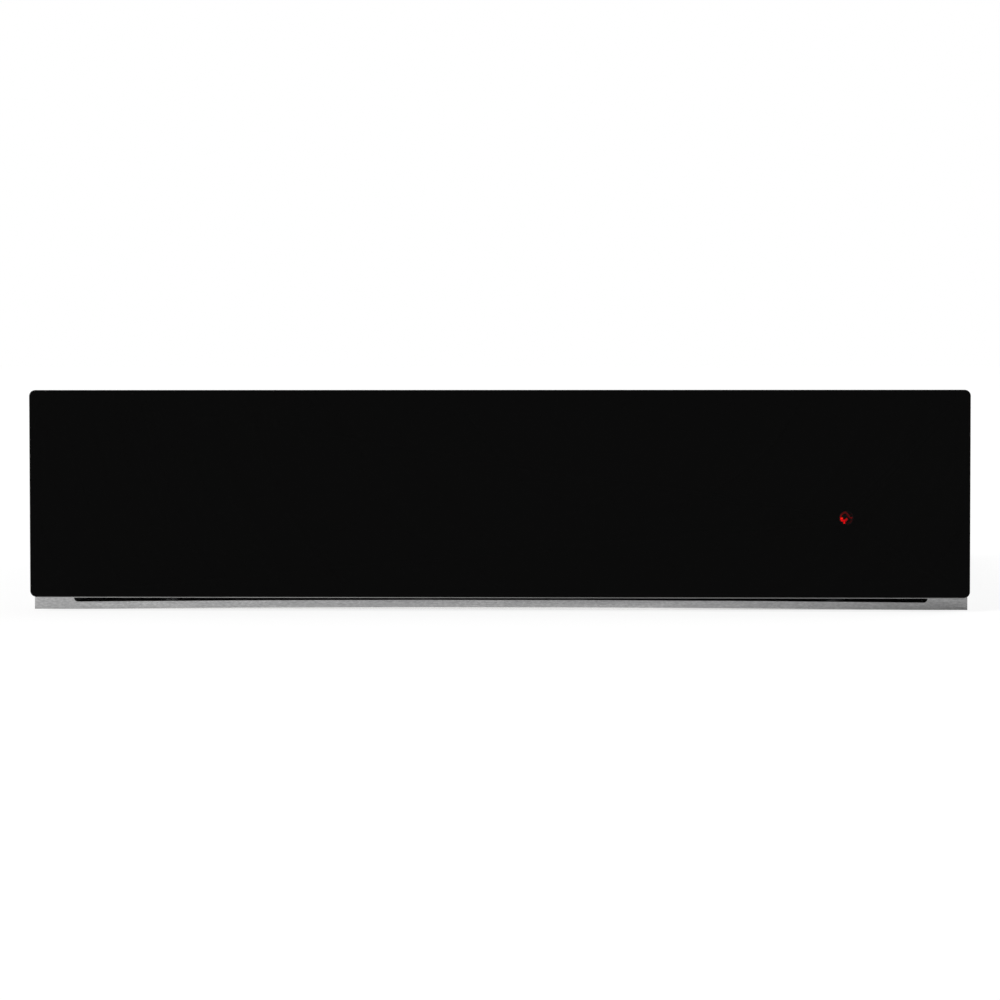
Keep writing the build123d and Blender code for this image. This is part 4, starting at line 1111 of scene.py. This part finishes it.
def graded_emission(name, left, right, x0, x1):
    """Card whose brightness goes from the left level at x0 to the right level at x1."""
    material = plain_emission(name, 1.0)
    tree = material.node_tree
    place = tree.nodes.new("ShaderNodeTexCoord")
    parts = tree.nodes.new("ShaderNodeSeparateXYZ")
    tree.links.new(place.outputs["Object"], parts.inputs[0])
    level = tree.nodes.new("ShaderNodeMapRange")
    limits = {"From Min": x0, "From Max": x1, "To Min": left, "To Max": right}
    for socket, number in limits.items():
        level.inputs[socket].default_value = number
    tree.links.new(parts.outputs["X"], level.inputs["Value"])
    tree.links.new(level.outputs[0], tree.nodes["Emission"].inputs["Strength"])
    return material


CARD_START = -0.276  # 2 mm before the glass
CARD_END = -4.2
CARD_HALF = 1.3
CARD_Z = 0.0092  # at the glass's lower edge
CARD_T = 0.0006
CARD_LOW_Z = 0.0002
CARD_TOP = 0.9
BAR_GAP = 0.0002


def make_cards():
    """Cards that only mirrors and glass see: dark for the glass front, pale below the steel."""
    dark = plain_emission("dark_card", 0.083)
    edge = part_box("front_glass")[1].x
    turn = edge / 8  # where the steel mirrors least
    grey = graded_emission("grey_card", 0.46, 0.34, -edge, edge)
    pale_left = graded_emission("pale_card_left", 0.95, 0.56, -edge, turn)
    pale_right = graded_emission("pale_card_right", 0.56, 0.74, turn, edge)
    near = graded_emission("near_card", 1.05, 0.28, edge / 3, edge)
    bar_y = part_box("front_frame")[0].y - BAR_GAP
    w = CARD_HALF
    cards = [
        ("card_floor", -w, w, CARD_END, CARD_START, CARD_Z, dark),
        ("card_under", -w, w, CARD_END, CARD_START, CARD_Z - CARD_T, grey),
        ("card_low_left", -w, turn, CARD_END, CARD_START, CARD_LOW_Z, pale_left),
        ("card_low_right", turn, w, CARD_END, CARD_START, CARD_LOW_Z, pale_right),
        ("card_near", -w, w, CARD_START, bar_y, CARD_LOW_Z, near),
    ]
    for name, *limits, material in cards:
        hide_but_in_mirrors(plane(name, level_corners(*limits), material))
    ends = ((-w, 0), (w, 0), (w, CARD_TOP), (-w, CARD_TOP))
    corners = [(x, CARD_END, z) for x, z in ends]
    hide_but_in_mirrors(plane("card_upright", corners, dark))


def hide_but_in_mirrors(thing):
    thing.visible_camera = False
    thing.visible_diffuse = False
    thing.visible_shadow = False
    thing.visible_volume_scatter = False


def soft_sun(name, toward, level, spread):
    """Even light from one side; the level is what a white floor gets from it."""
    data = bpy.data.lights.new(name, "SUN")
    direction = Vector(toward).normalized()
    data.energy = level * math.pi / direction.z
    data.angle = math.radians(spread)
    light = bpy.data.objects.new(name, data)
    light.visible_glossy = False
    light.rotation_mode = "QUATERNION"
    light.rotation_quaternion = direction.to_track_quat("Z", "Y")
    bpy.context.scene.collection.objects.link(light)


def make_lights():
    soft_sun("key", (-0.6, -0.55, 0.75), level=0.3, spread=28)
    soft_sun("fill", (0.75, 0.35, 0.7), level=0.14, spread=40)


# ---- The scene ----
make_camera()
finishes = finish_nodes()
zinc = finishes["zinc_steel"]
ink = black_scale()
white = white_print()
screw_set("casing_screw_set", "casing_screws", "casing", casing_screw_axis, zinc)
screw_set("drawer_screw_set", "drawer_screws", "drawer", lambda centre: Y_AXIS, zinc)
for side in ("left", "right"):
    rivets(side, zinc)
mat(finishes["rubber_mat"])
coiled_cable(finishes["cable_rubber"])
spring(zinc)
lamp(lamp_resin())
dial_scale(ink)
pointer_line(white)
rocker_marks(white)
make_world()
make_floor()
make_cards()
make_lights()
bpy.context.scene.view_settings.view_transform = "Standard"
